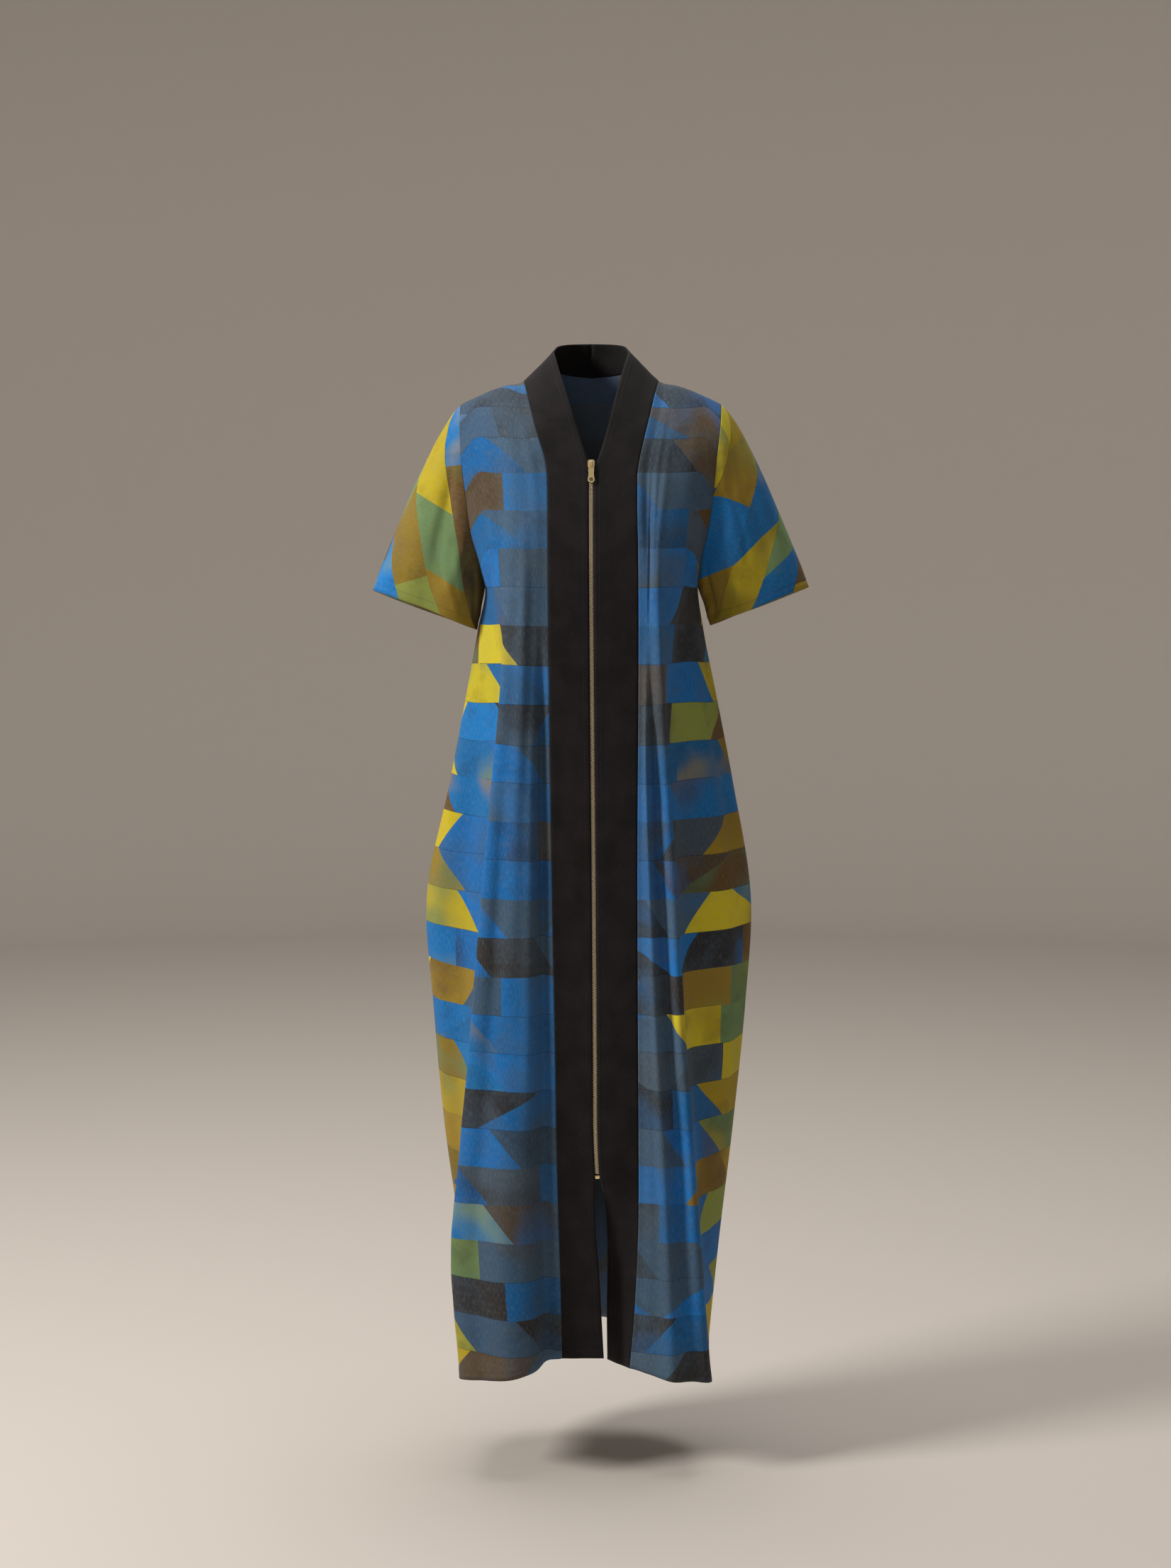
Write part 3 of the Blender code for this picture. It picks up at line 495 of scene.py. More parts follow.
# A fold grows and fades over these drops
FOLD_GROWS, FOLD_FADES = 0.22, 0.18


def down(top, hem):
    """Drops of all rows of a sheet, close together at the shoulder and at the underarm."""
    upper = (1 - np.cos(np.pi * np.arange(ROWS_TO_UNDERARM + 1) / ROWS_TO_UNDERARM)) / 2
    lower = (np.arange(1, ROWS_TO_HEM + 1) / ROWS_TO_HEM) ** 1.2
    above = top[:, None] + (UNDERARM_DROP - top[:, None]) * upper
    below = UNDERARM_DROP + (hem[:, None] - UNDERARM_DROP) * lower
    return np.concatenate([above, below], axis=1)


def normals(grid, wrap=False):
    """Unit normals of a grid of points, by the slopes along its two ways."""
    if wrap:
        across = np.roll(grid, -1, axis=0) - np.roll(grid, 1, axis=0)
    else:
        across = np.gradient(grid, axis=0)
    along = np.gradient(grid, axis=1)
    n = np.cross(across, along)
    return n / np.linalg.norm(n, axis=2, keepdims=True)


def folded(grid, outward, folds, place, down_to, fade):
    """The grid with each fold pushed out along its normals: depth times exp(-((place - middle) / width)^2)."""
    height = np.zeros(grid.shape[:2])
    for top, foot, start, end, width, depth in zip(*folds.values()):
        t = np.clip((down_to - start) / (end - start), 0.0, 1.0)
        off = (place - (top + (foot - top) * t)) / width
        grown = ease((down_to - start) / FOLD_GROWS) * ease((end - down_to) / FOLD_FADES)
        height += depth * grown * np.exp(-off * off)
    return grid + outward * (height * fade)[..., None]


print("each body sheet has", ROWS_TO_UNDERARM + ROWS_TO_HEM + 1, "rows")

# %% [markdown]
# ## Fronts and back
#
# Each printed piece is cut flat, sewn to its neighbours and left to hang. Here each is a grid of points, with a
# column for each strip of cloth from band to side seam and a row for each level. The back takes its shoulder and
# side columns from the fronts, as a seam joins two edges point by point.

# %% Grids of the fronts and the back
COLUMNS_PER_LINE = 20
NECK_COLUMNS = 16
# A column's top depends on its x, and its x on the top, so the two are worked out in turn until they settle
SETTLING_ROUNDS = 40


def front_grid(side):
    """A front: places 0 to 4 across, drops from the shoulder line to the hem down, then its folds."""
    places = np.linspace(0.0, 4.0, 4 * COLUMNS_PER_LINE + 1)
    top = np.full(places.shape, 0.05)
    for _ in range(SETTLING_ROUNDS):
        x, _ = front_xy(side, places, top)
        top = read(SHOULDER, "drop", np.abs(x), "x")
    hems = np.array(HEM[side])
    hems = np.concatenate([hems[:1], hems, hems[-1:]])
    drop = down(top, through(np.repeat(hems[:, None], len(places), axis=1), places))
    place = np.repeat(places[:, None], drop.shape[1], axis=1)
    x, y = front_xy(side, place, drop)
    y[:, 0] = 0.0
    grid = np.stack([x, y, -drop], axis=2)
    fade = ease((4.0 - place) / 0.5) * ease(place / 0.25)
    return folded(grid, -side * normals(grid), FRONT_FOLDS[side], place, drop, fade)


def back_half(side, shoulder_x):
    """Half the back, from its centre to the side, with the front's own shoulder columns: points and their shares."""
    neck_x = np.sin(np.linspace(0.0, np.pi / 2, NECK_COLUMNS + 1)[:-1]) * BACK_NECK["seam_x"][-1]
    top_x = np.concatenate([neck_x, shoulder_x])
    top = read(SHOULDER, "drop", top_x, "x")
    top[:NECK_COLUMNS] = read(BACK_NECK, "seam_drop", neck_x, "seam_x")
    turn = np.linspace(0.0, 1.0, len(top_x))
    low = np.sin(turn * np.pi / 2)
    drop = down(top, HEM_CENTRE_BACK + (HEM[side][-1] - HEM_CENTRE_BACK) * low**2)
    high = top_x / side_edge(side, top)
    high[-1] = 1.0
    blend = ease(np.arange(drop.shape[1]) / ROWS_TO_UNDERARM)
    share = high[:, None] * (1 - blend) + low[:, None] * blend
    x, y = back_xy(side, share, drop)
    y[NECK_COLUMNS:, 0] = 0.0
    return np.stack([x, y, -drop], axis=2), side * share


def back_grid():
    """The whole back, from the wearer's right side to the left one, with its folds."""
    halves = [back_half(side, np.abs(fronts[side][:, 0, 0])) for side in (RIGHT, LEFT)]
    grid, share = (np.concatenate([right[::-1], left[1:]]) for right, left in zip(*halves))
    fade = ease((1.0 - np.abs(share)) / 0.15)
    return folded(grid, normals(grid), BACK_FOLDS, share, -grid[..., 2], fade)


fronts = {side: front_grid(side) for side in (RIGHT, LEFT)}
back = back_grid()
print("a front is", fronts[LEFT].shape[:2], "points and the back", back.shape[:2])

# %% [markdown]
# ## Bands
#
# The band lies edge to edge with the cloth it is sewn to, so its outer edge is the edge of the sheets beside it,
# copied point by point. Its inner edge is read from its table, and beside the chain it keeps a hair's width off
# the teeth. Between the two edges the strip is straight, because its doubled cloth is stiffer than the print.

# %% Grids of the bands
BAND_COLUMNS = 16
CHAIN_WIDTH = 0.0056
SEAM_GAP = 0.0003
# The zipped part starts and ends at these drops, and the free edge runs into it over the third
ZIPPED_FROM, ZIPPED_TO, RUN_IN = 0.165, 1.085, 0.02


def band_grid(side):
    """A band from the centre back over the shoulder to the hem: outer (1 - share) + inner share."""
    turn = 1 if side == LEFT else -1
    neck = back[len(back) // 2 + turn * np.arange(NECK_COLUMNS + 1), 0]
    neck_x = np.abs(neck[:, 0])
    top = [read(BACK_NECK, name, neck_x, "seam_x") for name in ("top_x", "top_y", "top_rise")]
    top = np.stack(top, axis=1) * (side, 1.0, 1.0)
    seam = fronts[side][0, 1:]
    drop = read(BAND[side], "inner_drop", -seam[:, 2])
    x = read(BAND[side], "inner_x", -seam[:, 2])
    zipped = ease((drop - ZIPPED_FROM) / RUN_IN) * (1.0 - ease((drop - ZIPPED_TO) / RUN_IN))
    beside = read(CHAIN, "x", drop) + side * (CHAIN_WIDTH / 2 + SEAM_GAP)
    x = x * (1 - zipped) + beside * zipped
    y = -read(DEPTHS, "front", drop) * roll(x, drop) + read(BAND[side], "inner_back", -seam[:, 2])
    inner = np.concatenate([top, np.stack([x, y, -drop], axis=1)])
    outer = np.concatenate([neck, seam])
    share = np.linspace(0.0, 1.0, BAND_COLUMNS + 1)[:, None, None]
    return outer * (1 - share) + inner * share


bands = {side: band_grid(side) for side in (RIGHT, LEFT)}
print("a band is", bands[LEFT].shape[:2], "points")

# %% [markdown]
# ## Sleeves
#
# A set-in sleeve is a short tube sewn into the armhole. Its first ring is the armhole's own edge and its last is
# the hem, and each strip between them bends once, over the arm. A curve with one control point has just that
# bend. A tube with straight sides would stand off the shoulder like a pipe.

# %% Grids of the sleeves
SLEEVE_ROWS = 70
# The hem ring's half depth, and how far its front rises and its back falls
SLEEVE_DEPTH = 0.052
HEM_BOW = 0.003
# How far the bend lies in from the middle of a strip, ahead of it and above it
BEND_IN, BEND_AHEAD, BEND_UP = 0.0228, 0.010, 0.090
# The hem ring: x and drop of its middle, then x and rise of its half length from underarm to tip
SLEEVE_HEM = {RIGHT: (-0.2243, 0.3453, -0.0702, 0.0266), LEFT: (0.2264, 0.3405, 0.0659, 0.0256)}


def sleeve_grid(side):
    """A sleeve: round from the shoulder over the front and up the back, and along a curve from armhole to hem,
    (1 - t)^2 armhole + 2 t (1 - t) bend + t^2 hem."""
    edge = back[-1] if side == LEFT else back[0]
    armhole = np.concatenate([fronts[side][-1, : ROWS_TO_UNDERARM + 1], edge[1:ROWS_TO_UNDERARM][::-1]])
    around = np.pi * np.arange(len(armhole)) / ROWS_TO_UNDERARM
    up, ahead = np.cos(around), np.sin(around)
    middle_x, middle_drop, half_x, half_rise = SLEEVE_HEM[side]
    rise = half_rise * up - middle_drop + HEM_BOW * ahead
    hem = np.stack([middle_x + half_x * up, -SLEEVE_DEPTH * ahead, rise], axis=1)
    lift = np.clip(up, 0.0, 1.0)
    bend = (armhole + hem) / 2
    bend += np.stack([-side * BEND_IN * lift, -BEND_AHEAD * ahead, BEND_UP * lift], axis=1)
    t = np.linspace(0.0, 1.0, SLEEVE_ROWS + 1)[None, :, None]
    grid = (1 - t) ** 2 * armhole[:, None] + 2 * t * (1 - t) * bend[:, None] + t**2 * hem[:, None]
    place = np.repeat((around / (2 * np.pi))[:, None], SLEEVE_ROWS + 1, axis=1)
    along = np.repeat(t[..., 0], len(around), axis=0)
    return folded(grid, side * normals(grid, True), SLEEVE_FOLDS[side], place, along, ease(along / 0.3))


sleeves = {side: sleeve_grid(side) for side in (RIGHT, LEFT)}
print("a sleeve is", sleeves[LEFT].shape[:2], "points")

# %% [markdown]
# ## Distances along the cloth
#
# Cloth bends easily but hardly stretches, so a distance measured along it stays what it was when it was cut.
# Distances along the columns and rows of a grid are therefore the cloth's own: they give its flat size, the
# place of its stitches and, as a UV map in metres, the place of the print. Projecting the print from the front
# would be quicker, but it would smear down the sides.

# %% Distances across and along a grid
def running(steps, axis):
    """Distances from the first point: 0, then the running sum of the steps."""
    start = np.zeros_like(np.take(steps, [0], axis=axis))
    return np.concatenate([start, np.cumsum(steps, axis=axis)], axis=axis)


def flat_lengths(grid, level):
    """How far each point is across its row from the first column, and down its column from one level row."""
    across = running(np.linalg.norm(np.diff(grid, axis=0), axis=2), 0)
    along = running(np.linalg.norm(np.diff(grid, axis=1), axis=2), 1)
    return across, along - along[:, level : level + 1]


def unrolled(grid):
    """A tube laid flat: distances around it, square to the line of its first column, and along that line."""
    axis = grid[0, -1] - grid[0, 0]
    axis /= np.linalg.norm(axis)
    steps = np.diff(grid, axis=0)
    steps -= (steps @ axis)[..., None] * axis
    return running(np.linalg.norm(steps, axis=2), 0), (grid - grid[0, 0]) @ axis


def cut_size(grid):
    """The piece laid flat: its greatest width and length, and its area as two triangles for each face."""
    across, along = flat_lengths(grid, 0)
    a, b, c, d = grid[:-1, :-1], grid[1:, :-1], grid[1:, 1:], grid[:-1, 1:]
    area = sum(0.5 * np.linalg.norm(np.cross(p - a, q - a), axis=2) for p, q in ((b, c), (c, d))).sum()
    width, length = float(across[-1].max()), float(along[:, -1].max())
    return (width, length), float(min(area, width * length))


print("the back is cut", [round(part, 3) for part in cut_size(back)[0]], "m wide and long")

# %% [markdown]
# ## Uneven cloth
#
# Between its folds, worn cloth is never quite smooth. Two layers of very shallow noise give that: one broad, and
# one fine. Each is a lattice of random heights read with soft weights, and its fixed seed gives the same cloth
# every time. The noise fades out towards the seams, where two pieces have to meet exactly.

# %% Soft unevenness and the final grids
LATTICE = 64
# Height, width and length of each layer in metres, and where on the lattice it starts
LAYERS = ((0.0011, 0.035, 0.12, 7), (0.0005, 0.014, 0.03, 3))


def uneven(across, along, seed):
    """Smooth noise from -1 to 1: a lattice of seeded values, read between its points on eased weights."""
    heights = np.random.default_rng(seed).uniform(-1, 1, (LATTICE, LATTICE))
    i, j = np.floor(across).astype(int), np.floor(along).astype(int)
    s, t = ease(across - i), ease(along - j)
    near, far = (
        heights[(i + a) % LATTICE, j % LATTICE] * (1 - t) + heights[(i + a) % LATTICE, (j + 1) % LATTICE] * t
        for a in (0, 1)
    )
    return near * (1 - s) + far * s


def soft_cloth(grid, outward, seed, still):
    """The grid with its layers of noise along the normals, none where it is held still at its seams."""
    across, along = flat_lengths(grid, 0)
    height = 0.0
    for k, (rise, width, length, start) in enumerate(LAYERS):
        height = height + rise * uneven(across / width + start, along / length + start, seed + k)
    return grid + outward * (height * still)[..., None]


def inside(count, margin):
    """0 at both ends of a row of points and 1 from `margin` inwards, as a column."""
    share = np.linspace(0.0, 1.0, count)[:, None]
    return ease(share / margin) * ease((1 - share) / margin)


# How much a row may move: nothing at the shoulder or the armhole, and all of it further down
hang = ease(np.arange(ROWS_TO_UNDERARM + ROWS_TO_HEM + 1) / ROWS_TO_UNDERARM / 0.35)[None]
arm = ease(np.linspace(0.0, 1.0, SLEEVE_ROWS + 1) / 0.25)[None]
grids = {}
for side, word, seed in ((RIGHT, "right", 11), (LEFT, "left", 23)):
    front, band, sleeve = fronts[side], bands[side], sleeves[side]
    grids["front_" + word] = soft_cloth(front, -side * normals(front), seed, inside(len(front), 0.125) * hang)
    grids["band_" + word] = soft_cloth(band, side * normals(band), seed + 9, inside(len(band), 0.4))
    grids["sleeve_" + word] = soft_cloth(sleeve, side * normals(sleeve, True), seed + 5, arm)
grids["back"] = soft_cloth(back, normals(back), 37, inside(len(back), 0.06) * hang)
moved = np.linalg.norm(grids["back"] - back, axis=2).max()
print("the unevenness moves the back by at most", round(float(moved) * 1000, 2), "mm")

# %% [markdown]
# ## From a grid to a mesh
#
# A mesh needs its points, the corners of its faces and, for the print, a UV at each corner. numpy hands them over
# as whole arrays with foreach_set, which takes a moment where a loop would take minutes. A sleeve's last column
# is its first one again: it keeps its own UVs but shares the points, so the tube has no open seam. Solidify gives
# the cloth its thickness, inwards, so that its outside stays where the solids have it.

# %% Meshes of cloth
CLOTH = 0.0008


def linked(name, data):
    """A new object with this data, in the scene."""
    obj = bpy.data.objects.new(name, data)
    bpy.context.collection.objects.link(obj)
    return obj


def quads_of(index):
    """The four corners of each cell in a grid of point numbers."""
    corners = [index[:-1, :-1], index[1:, :-1], index[1:, 1:], index[:-1, 1:]]
    return np.stack(corners, axis=-1).reshape(-1, 4)


def grid_object(name, grid, flip, wrap=False, level=0, centre=0, thickness=CLOTH):
    """A mesh from a grid of points: quads between neighbours, and UVs in metres."""
    if wrap:
        grid = np.concatenate([grid, grid[:1]])
    across, along = unrolled(grid) if wrap else flat_lengths(grid, level)
    across = across - across[centre : centre + 1]
    index = np.arange(across.size).reshape(across.shape)
    quads = quads_of(index)
    if flip:
        quads = quads[:, ::-1]
    uv = np.stack([across, along], axis=-1).reshape(-1, 2)[quads.reshape(-1)]
    if wrap:
        index[-1] = index[0]
        quads = index.reshape(-1)[quads]
        grid = grid[:-1]
    mesh = bpy.data.meshes.new(name)
    mesh.vertices.add(grid.shape[0] * grid.shape[1])
    mesh.vertices.foreach_set("co", grid.reshape(-1).astype(np.float32))
    mesh.loops.add(quads.size)
    mesh.loops.foreach_set("vertex_index", quads.reshape(-1).astype(np.int32))
    mesh.polygons.add(len(quads))
    mesh.polygons.foreach_set("loop_start", np.arange(0, quads.size, 4, dtype=np.int32))
    mesh.polygons.foreach_set("use_smooth", np.ones(len(quads), bool))
    mesh.update(calc_edges=True)
    layer = mesh.uv_layers.new(name="Cloth")
    layer.data.foreach_set("uv", uv.reshape(-1).astype(np.float32))
    obj = linked(name, mesh)
    solid = obj.modifiers.new("Thickness", "SOLIDIFY")
    solid.thickness = thickness
    solid.offset = -1
    solid.use_even_offset = False
    return obj


print("the printed cloth is", CLOTH * 1000, "mm thick")

# %% [markdown] ## Seven pieces of cloth  Now every grid becomes a piece. One loop makes them all, because they
# differ only in a few values.

# %% The fronts, the back, the bands and the sleeves
cloth = {}
for name, grid in grids.items():
    side = LEFT if name.endswith("left") else RIGHT
    banded, tube = name.startswith("band"), name.startswith("sleeve")
    flip = (side == LEFT) if name.startswith("front") else (side == RIGHT and name != "back")
    level = 0 if tube or banded else ROWS_TO_UNDERARM
    centre = len(grid) // 2 if name == "back" else 0
    thickness = 2 * CLOTH if banded else CLOTH
    obj = grid_object(name + "_cloth", grid, flip, tube, level, centre, thickness)
    flat, area = cut_size(grid)
    cloth[name] = obj
    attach(obj, "dress")
    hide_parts(name)
    print(f"{name}: {len(obj.data.polygons)} faces, flat {flat[0]:.3f} by {flat[1]:.3f} m, {area:.3f} square metres")

# %% [markdown]
# ## One stitch
#
# Hems and zip edges are held by machine stitching: short straight stitches in a row, each a small capsule of
# thread that dips at both ends. A noise bump could hint at them, but a close view needs real thread. One capsule
# of a few faces is made here, with a function that repeats a shape many times in a single mesh.

# %% A capsule of thread, and copies of a shape
STITCH_STEP = 0.0026
STITCH_LENGTH = 0.86 * STITCH_STEP
THREAD_RADIUS = 0.00016


def capsule(length, radius, sides=5):
    """A stitch along X: rings of the radius times a share that shrinks at the ends, which also sink."""
    stations = np.array([-0.5, -0.36, 0.0, 0.36, 0.5])
    thick = np.array([0.35, 0.9, 1.0, 0.9, 0.35]) * radius
    lift = np.array([-0.5, 0.2, 0.55, 0.2, -0.5]) * radius
    turn = 2 * np.pi * np.arange(sides) / sides
    ring = np.stack([np.zeros(sides), np.cos(turn), np.sin(turn)], axis=1)
    points = ring[None] * thick[:, None, None]
    points[..., 0] += (stations * length)[:, None]
    points[..., 2] += lift[:, None]
    index = np.arange(len(stations) * sides).reshape(len(stations), sides)
    after = np.roll(index, -1, axis=1)
    faces = np.stack([index[:-1], after[:-1], after[1:], index[1:]], axis=-1).reshape(-1, 4)
    return points.reshape(-1, 3), faces


def repeated(name, points, faces, origin, axes):
    """One mesh of many copies: copy i of each point p is origin[i] + p . axes[i]."""
    points = np.asarray(points, float)
    placed = origin[:, None] + np.einsum("pk,ikc->ipc", points, axes)
    index = np.asarray(faces)[None] + (np.arange(len(origin)) * len(points))[:, None, None]
    mesh = bpy.data.meshes.new(name)
    mesh.from_pydata(placed.reshape(-1, 3).tolist(), [], index.reshape(-1, index.shape[2]).tolist())
    mesh.update()
    mesh.shade_smooth()
    return linked(name, mesh)


print("a stitch is", round(STITCH_LENGTH * 1000, 2), "mm long")

# %% [markdown]
# ## Seam lines
#
# A row of stitches keeps one distance from an edge. On a grid that line lies between two rows, a little
# differently in each column, so it is read at fractional rows. Equal stitches are then spaced along it, each with
# the way along the seam and the way out of the cloth, which together turn the capsule.

# %% Lines on the cloth, and stitches along them
# How far the stitches lie above a hem
HEM_INSET = 0.011


def inset(grid, distance):
    """For each column, the fractional row that lies `distance` before its last point."""
    steps = np.linalg.norm(np.diff(grid, axis=1), axis=2)
    left = running(steps[:, ::-1], 1)[:, ::-1]
    return np.array([np.interp(-distance, -column, np.arange(len(column))) for column in left])


def line_on(grid, rows):
    """One point for each column of a grid, at a fractional row: a share of each of the two rows beside it."""
    k = np.clip(np.floor(rows).astype(int), 0, grid.shape[1] - 2)
    t = (rows - k)[:, None]
    column = np.arange(grid.shape[0])
    return grid[column, k] * (1 - t) + grid[column, k + 1] * t


def spaced(path, out):
    """Middles of equal stitches on a path, with the unit ways along it and outwards, square to each other."""
    reach = running(np.linalg.norm(np.diff(path, axis=0), axis=1), 0)
    count = max(int(reach[-1] / STITCH_STEP), 2)
    at = (np.arange(count) + 0.5) * reach[-1] / count

    def along(values, places):
        return np.stack([np.interp(places, reach, values[:, k]) for k in range(3)], axis=1)

    ahead = along(path, at + STITCH_STEP / 4) - along(path, at - STITCH_STEP / 4)
    ahead /= np.linalg.norm(ahead, axis=1, keepdims=True)
    up = along(out, at)
    up -= ahead * (up * ahead).sum(axis=1, keepdims=True)
    up /= np.linalg.norm(up, axis=1, keepdims=True)
    return along(path, at), ahead, up


def stitched(name, paths, outs):
    """Rows of stitches along paths; `outs` are the outward ways at the same points."""
    rows = [spaced(path, out) for path, out in zip(paths, outs)]
    middle, ahead, up = (np.concatenate(part) for part in zip(*rows))
    axes = np.stack([ahead, np.cross(up, ahead), up], axis=1)
    points, faces = capsule(STITCH_LENGTH, THREAD_RADIUS)
    obj = repeated(name, points, faces, middle + up * THREAD_RADIUS * 0.4, axes)
    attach(obj, "dress")
    print(name, len(middle), "stitches")
    return obj


print("a front's hem line starts at row", round(float(inset(grids["front_left"], HEM_INSET)[0]), 2))

# %% [markdown]
# ## Sewing
#
# The printed pieces are stitched along their hems. A band is stitched down beside the zip and across its foot,
# but not round the neck, where the photo shows a clean edge. The grid of a band is turned on its side for the
# long row, so that the same functions measure from its zip edge.

# %% Stitches on the hems and the bands
# How far the stitches lie from a band's zip edge, and the column past the neck where they start
ZIP_EDGE_INSET = 0.0076
STITCHES_START = NECK_COLUMNS + 4

outward = {}
for name, grid in grids.items():
    side = LEFT if name.endswith("left") else RIGHT
    sign = 1.0 if name == "back" else -side if name.startswith("front") else side
    outward[name] = sign * normals(grid, name.startswith("sleeve"))

threads = []
for name in ("front_right", "front_left", "back", "sleeve_right", "sleeve_left"):
    rows = inset(grids[name], HEM_INSET)
    path, out = line_on(grids[name], rows), line_on(outward[name], rows)
    if name.startswith("sleeve"):
        path, out = np.concatenate([path, path[:1]]), np.concatenate([out, out[:1]])
    threads.append(stitched(name + "_hem_stitches", [path], [out]))
for name in ("band_right", "band_left"):
    sheets = (grids[name], outward[name])
    hem, hem_out = (line_on(sheet, inset(grids[name], HEM_INSET)) for sheet in sheets)
    columns = inset(grids[name].swapaxes(0, 1), ZIP_EDGE_INSET)
    edge, edge_out = (line_on(sheet.swapaxes(0, 1), columns) for sheet in sheets)
    part = slice(STITCHES_START, int(np.searchsorted(-edge[:, 2], -hem[-1, 2])))
    threads.append(stitched(name + "_stitches", [edge[part], hem], [edge_out[part], hem_out]))

# %% [markdown]
# ## The zip's teeth
#
# A metal zip is two dark tapes whose edges carry rows of cast teeth. Closed, the teeth of the two rows take
# turns. The solid of the chain is one plain strip, so here it is replaced: one tooth is a small block with a
# bevelled top and a narrow head, and copies of it go down the strip's middle line, every second one turned to
# the other side. A bump map of teeth would look flat in a close view.

# %% Teeth
CHAIN_TOP, CHAIN_FOOT = 0.1556, 1.0925
# From one tooth to the next on the same side, and how far below the chain's top the first one sits
TOOTH_PITCH = 0.00232
FIRST_TOOTH = 0.0006


def zip_line(drop):
    """The chain's middle line on the bands' face: x from its table, y from the section at that drop."""
    x = read(CHAIN, "x", drop)
    return np.stack([x, -read(DEPTHS, "front", drop) * roll(x, drop), -drop], axis=1)


def zip_axes(points):
    """Across, down and out at each point of the zip's line, as rows of a 3 by 3 frame."""
    way = np.gradient(points, axis=0)
    way /= np.linalg.norm(way, axis=1, keepdims=True)
    across = np.array([1.0, 0.0, 0.0]) - way * way[:, :1]
    across /= np.linalg.norm(across, axis=1, keepdims=True)
    return np.stack([across, way, np.cross(way, across)], axis=1)


def tooth():
    """One tooth: an outline from its root to its head at two levels, and a smaller one on top."""
    half = np.array([(-0.0026, 0.00052), (-0.0010, 0.00056), (0.0004, 0.00030), (0.0008, 0.00050)])
    outline = np.concatenate([half, half[::-1] * (1, -1)])
    levels = ((outline, -0.0007), (outline, 0.0001), (outline * (0.88, 0.62), 0.0004))
    points = np.concatenate([np.column_stack([shape, np.full(8, height)]) for shape, height in levels])
    walls = [(a + k, a + 8 + k, (a + 1) % 8 + 8 + k, (a + 1) % 8 + k) for k in (0, 8) for a in range(8)]
    lids = [(16, 23, 22, 17), (17, 22, 21, 18), (18, 21, 20, 19)]
    floor = [(1, 6, 7, 0), (2, 5, 6, 1), (3, 4, 5, 2)]
    return points, walls + lids + floor


count = int((CHAIN_FOOT - CHAIN_TOP) / (TOOTH_PITCH / 2)) - 1
line = zip_line(CHAIN_TOP + FIRST_TOOTH + np.arange(count) * TOOTH_PITCH / 2)
axes = zip_axes(line)
axes[:, :2] *= np.where(np.arange(count) % 2, -1.0, 1.0)[:, None, None]
points, faces = tooth()
teeth = repeated("zip_teeth", points, faces, line, axes)
teeth.data.shade_flat()
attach(teeth, "dress")
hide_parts("zip_chain")
print(count, "teeth,", len(teeth.data.polygons), "faces")

# %% [markdown]
# ## The zip's tape, slider, tab and stop
#
# Between the bands a thin strip of the tape shows behind the teeth, so a narrow sheet follows the same line. The
# slider, its tab and the bottom stop are small cast or stamped parts with no sharp edge anywhere. They are kept
# as the solids they are, and a Bevel modifier rounds the edges, which catch the light.

# %% Tape and rounded metal
# How far the tape lies behind the middle of the teeth
TAPE_DEPTH = 0.0008
TAPE_THICKNESS = 0.0004
EDGE_RADIUS = {"zip_slider": 0.00035, "zip_pull_tab": 0.0003, "zip_stop_bottom": 0.0003}

line = zip_line(np.linspace(CHAIN_TOP, CHAIN_FOOT, 300))
axes = zip_axes(line)
across = np.linspace(-CHAIN_WIDTH / 2, CHAIN_WIDTH / 2, 5)
tape_grid = line[None] + across[:, None, None] * axes[None, :, 0] - TAPE_DEPTH * axes[None, :, 2]
tape = grid_object("zip_tape", tape_grid, False, thickness=TAPE_THICKNESS)
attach(tape, "dress")
for name, width in EDGE_RADIUS.items():
    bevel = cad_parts[name].modifiers.new("Rounded edges", "BEVEL")
    bevel.width = width
    bevel.segments = 3
    bevel.limit_method = "ANGLE"
    bevel.angle_limit = math.radians(35)
print("the tape has", len(tape.data.polygons), "faces, and", len(EDGE_RADIUS), "solids have rounded edges")

# %% [markdown]
# ## Nodes written as sums
#
# The print and the weave are worked out by nodes, most of them plain arithmetic. Placing Math nodes one by one
# would hide the formulas. Here a node's output is wrapped, so that + - * and / between two of them, or between
# one and a number, add the Math node and its links. The formulas then read as they would on paper.

# %% Wires, and nodes made from them
class Wire:
    """A node's output that can be used in sums; every operation adds one Math node to its tree."""

    def __init__(self, socket):
        self.socket, self.tree = socket, socket.id_data

    def __add__(self, other):
        return maths("ADD", self, other)

    def __sub__(self, other):
        return maths("SUBTRACT", self, other)

    def __rsub__(self, other):
        return maths("SUBTRACT", other, self)

    def __mul__(self, other):
        return maths("MULTIPLY", self, other)

    def __truediv__(self, other):
        return maths("DIVIDE", self, other)

    def __rtruediv__(self, other):
        return maths("DIVIDE", other, self)


def plug(socket, value):
    """Links a wire to an input, or sets the input to a number or a colour."""
    if isinstance(value, Wire):
        value.tree.links.new(value.socket, socket)
    else:
        socket.default_value = value


def node(tree, kind, settings=None, **inputs):
    """A node with its settings, and its inputs by name."""
    made = tree.nodes.new("ShaderNode" + kind)
    for word, value in (settings or {}).items():
        setattr(made, word, value)
    for word, value in inputs.items():
        plug(made.inputs[word.replace("_", " ")], value)
    return made


def out(made, word=0):
    """One output of a node, by its name or number, as a wire."""
    return Wire(made.outputs[word])


def maths(way, *values):
    """One Math node on wires and numbers."""
    made = node(next(v.tree for v in values if isinstance(v, Wire)), "Math", {"operation": way})
    for socket, value in zip(made.inputs, values):
        plug(socket, value)
    return out(made)


operations = [word.strip("_") for word in vars(Wire) if word in ("__add__", "__sub__", "__mul__", "__truediv__")]
print("a wire can be used in", operations)

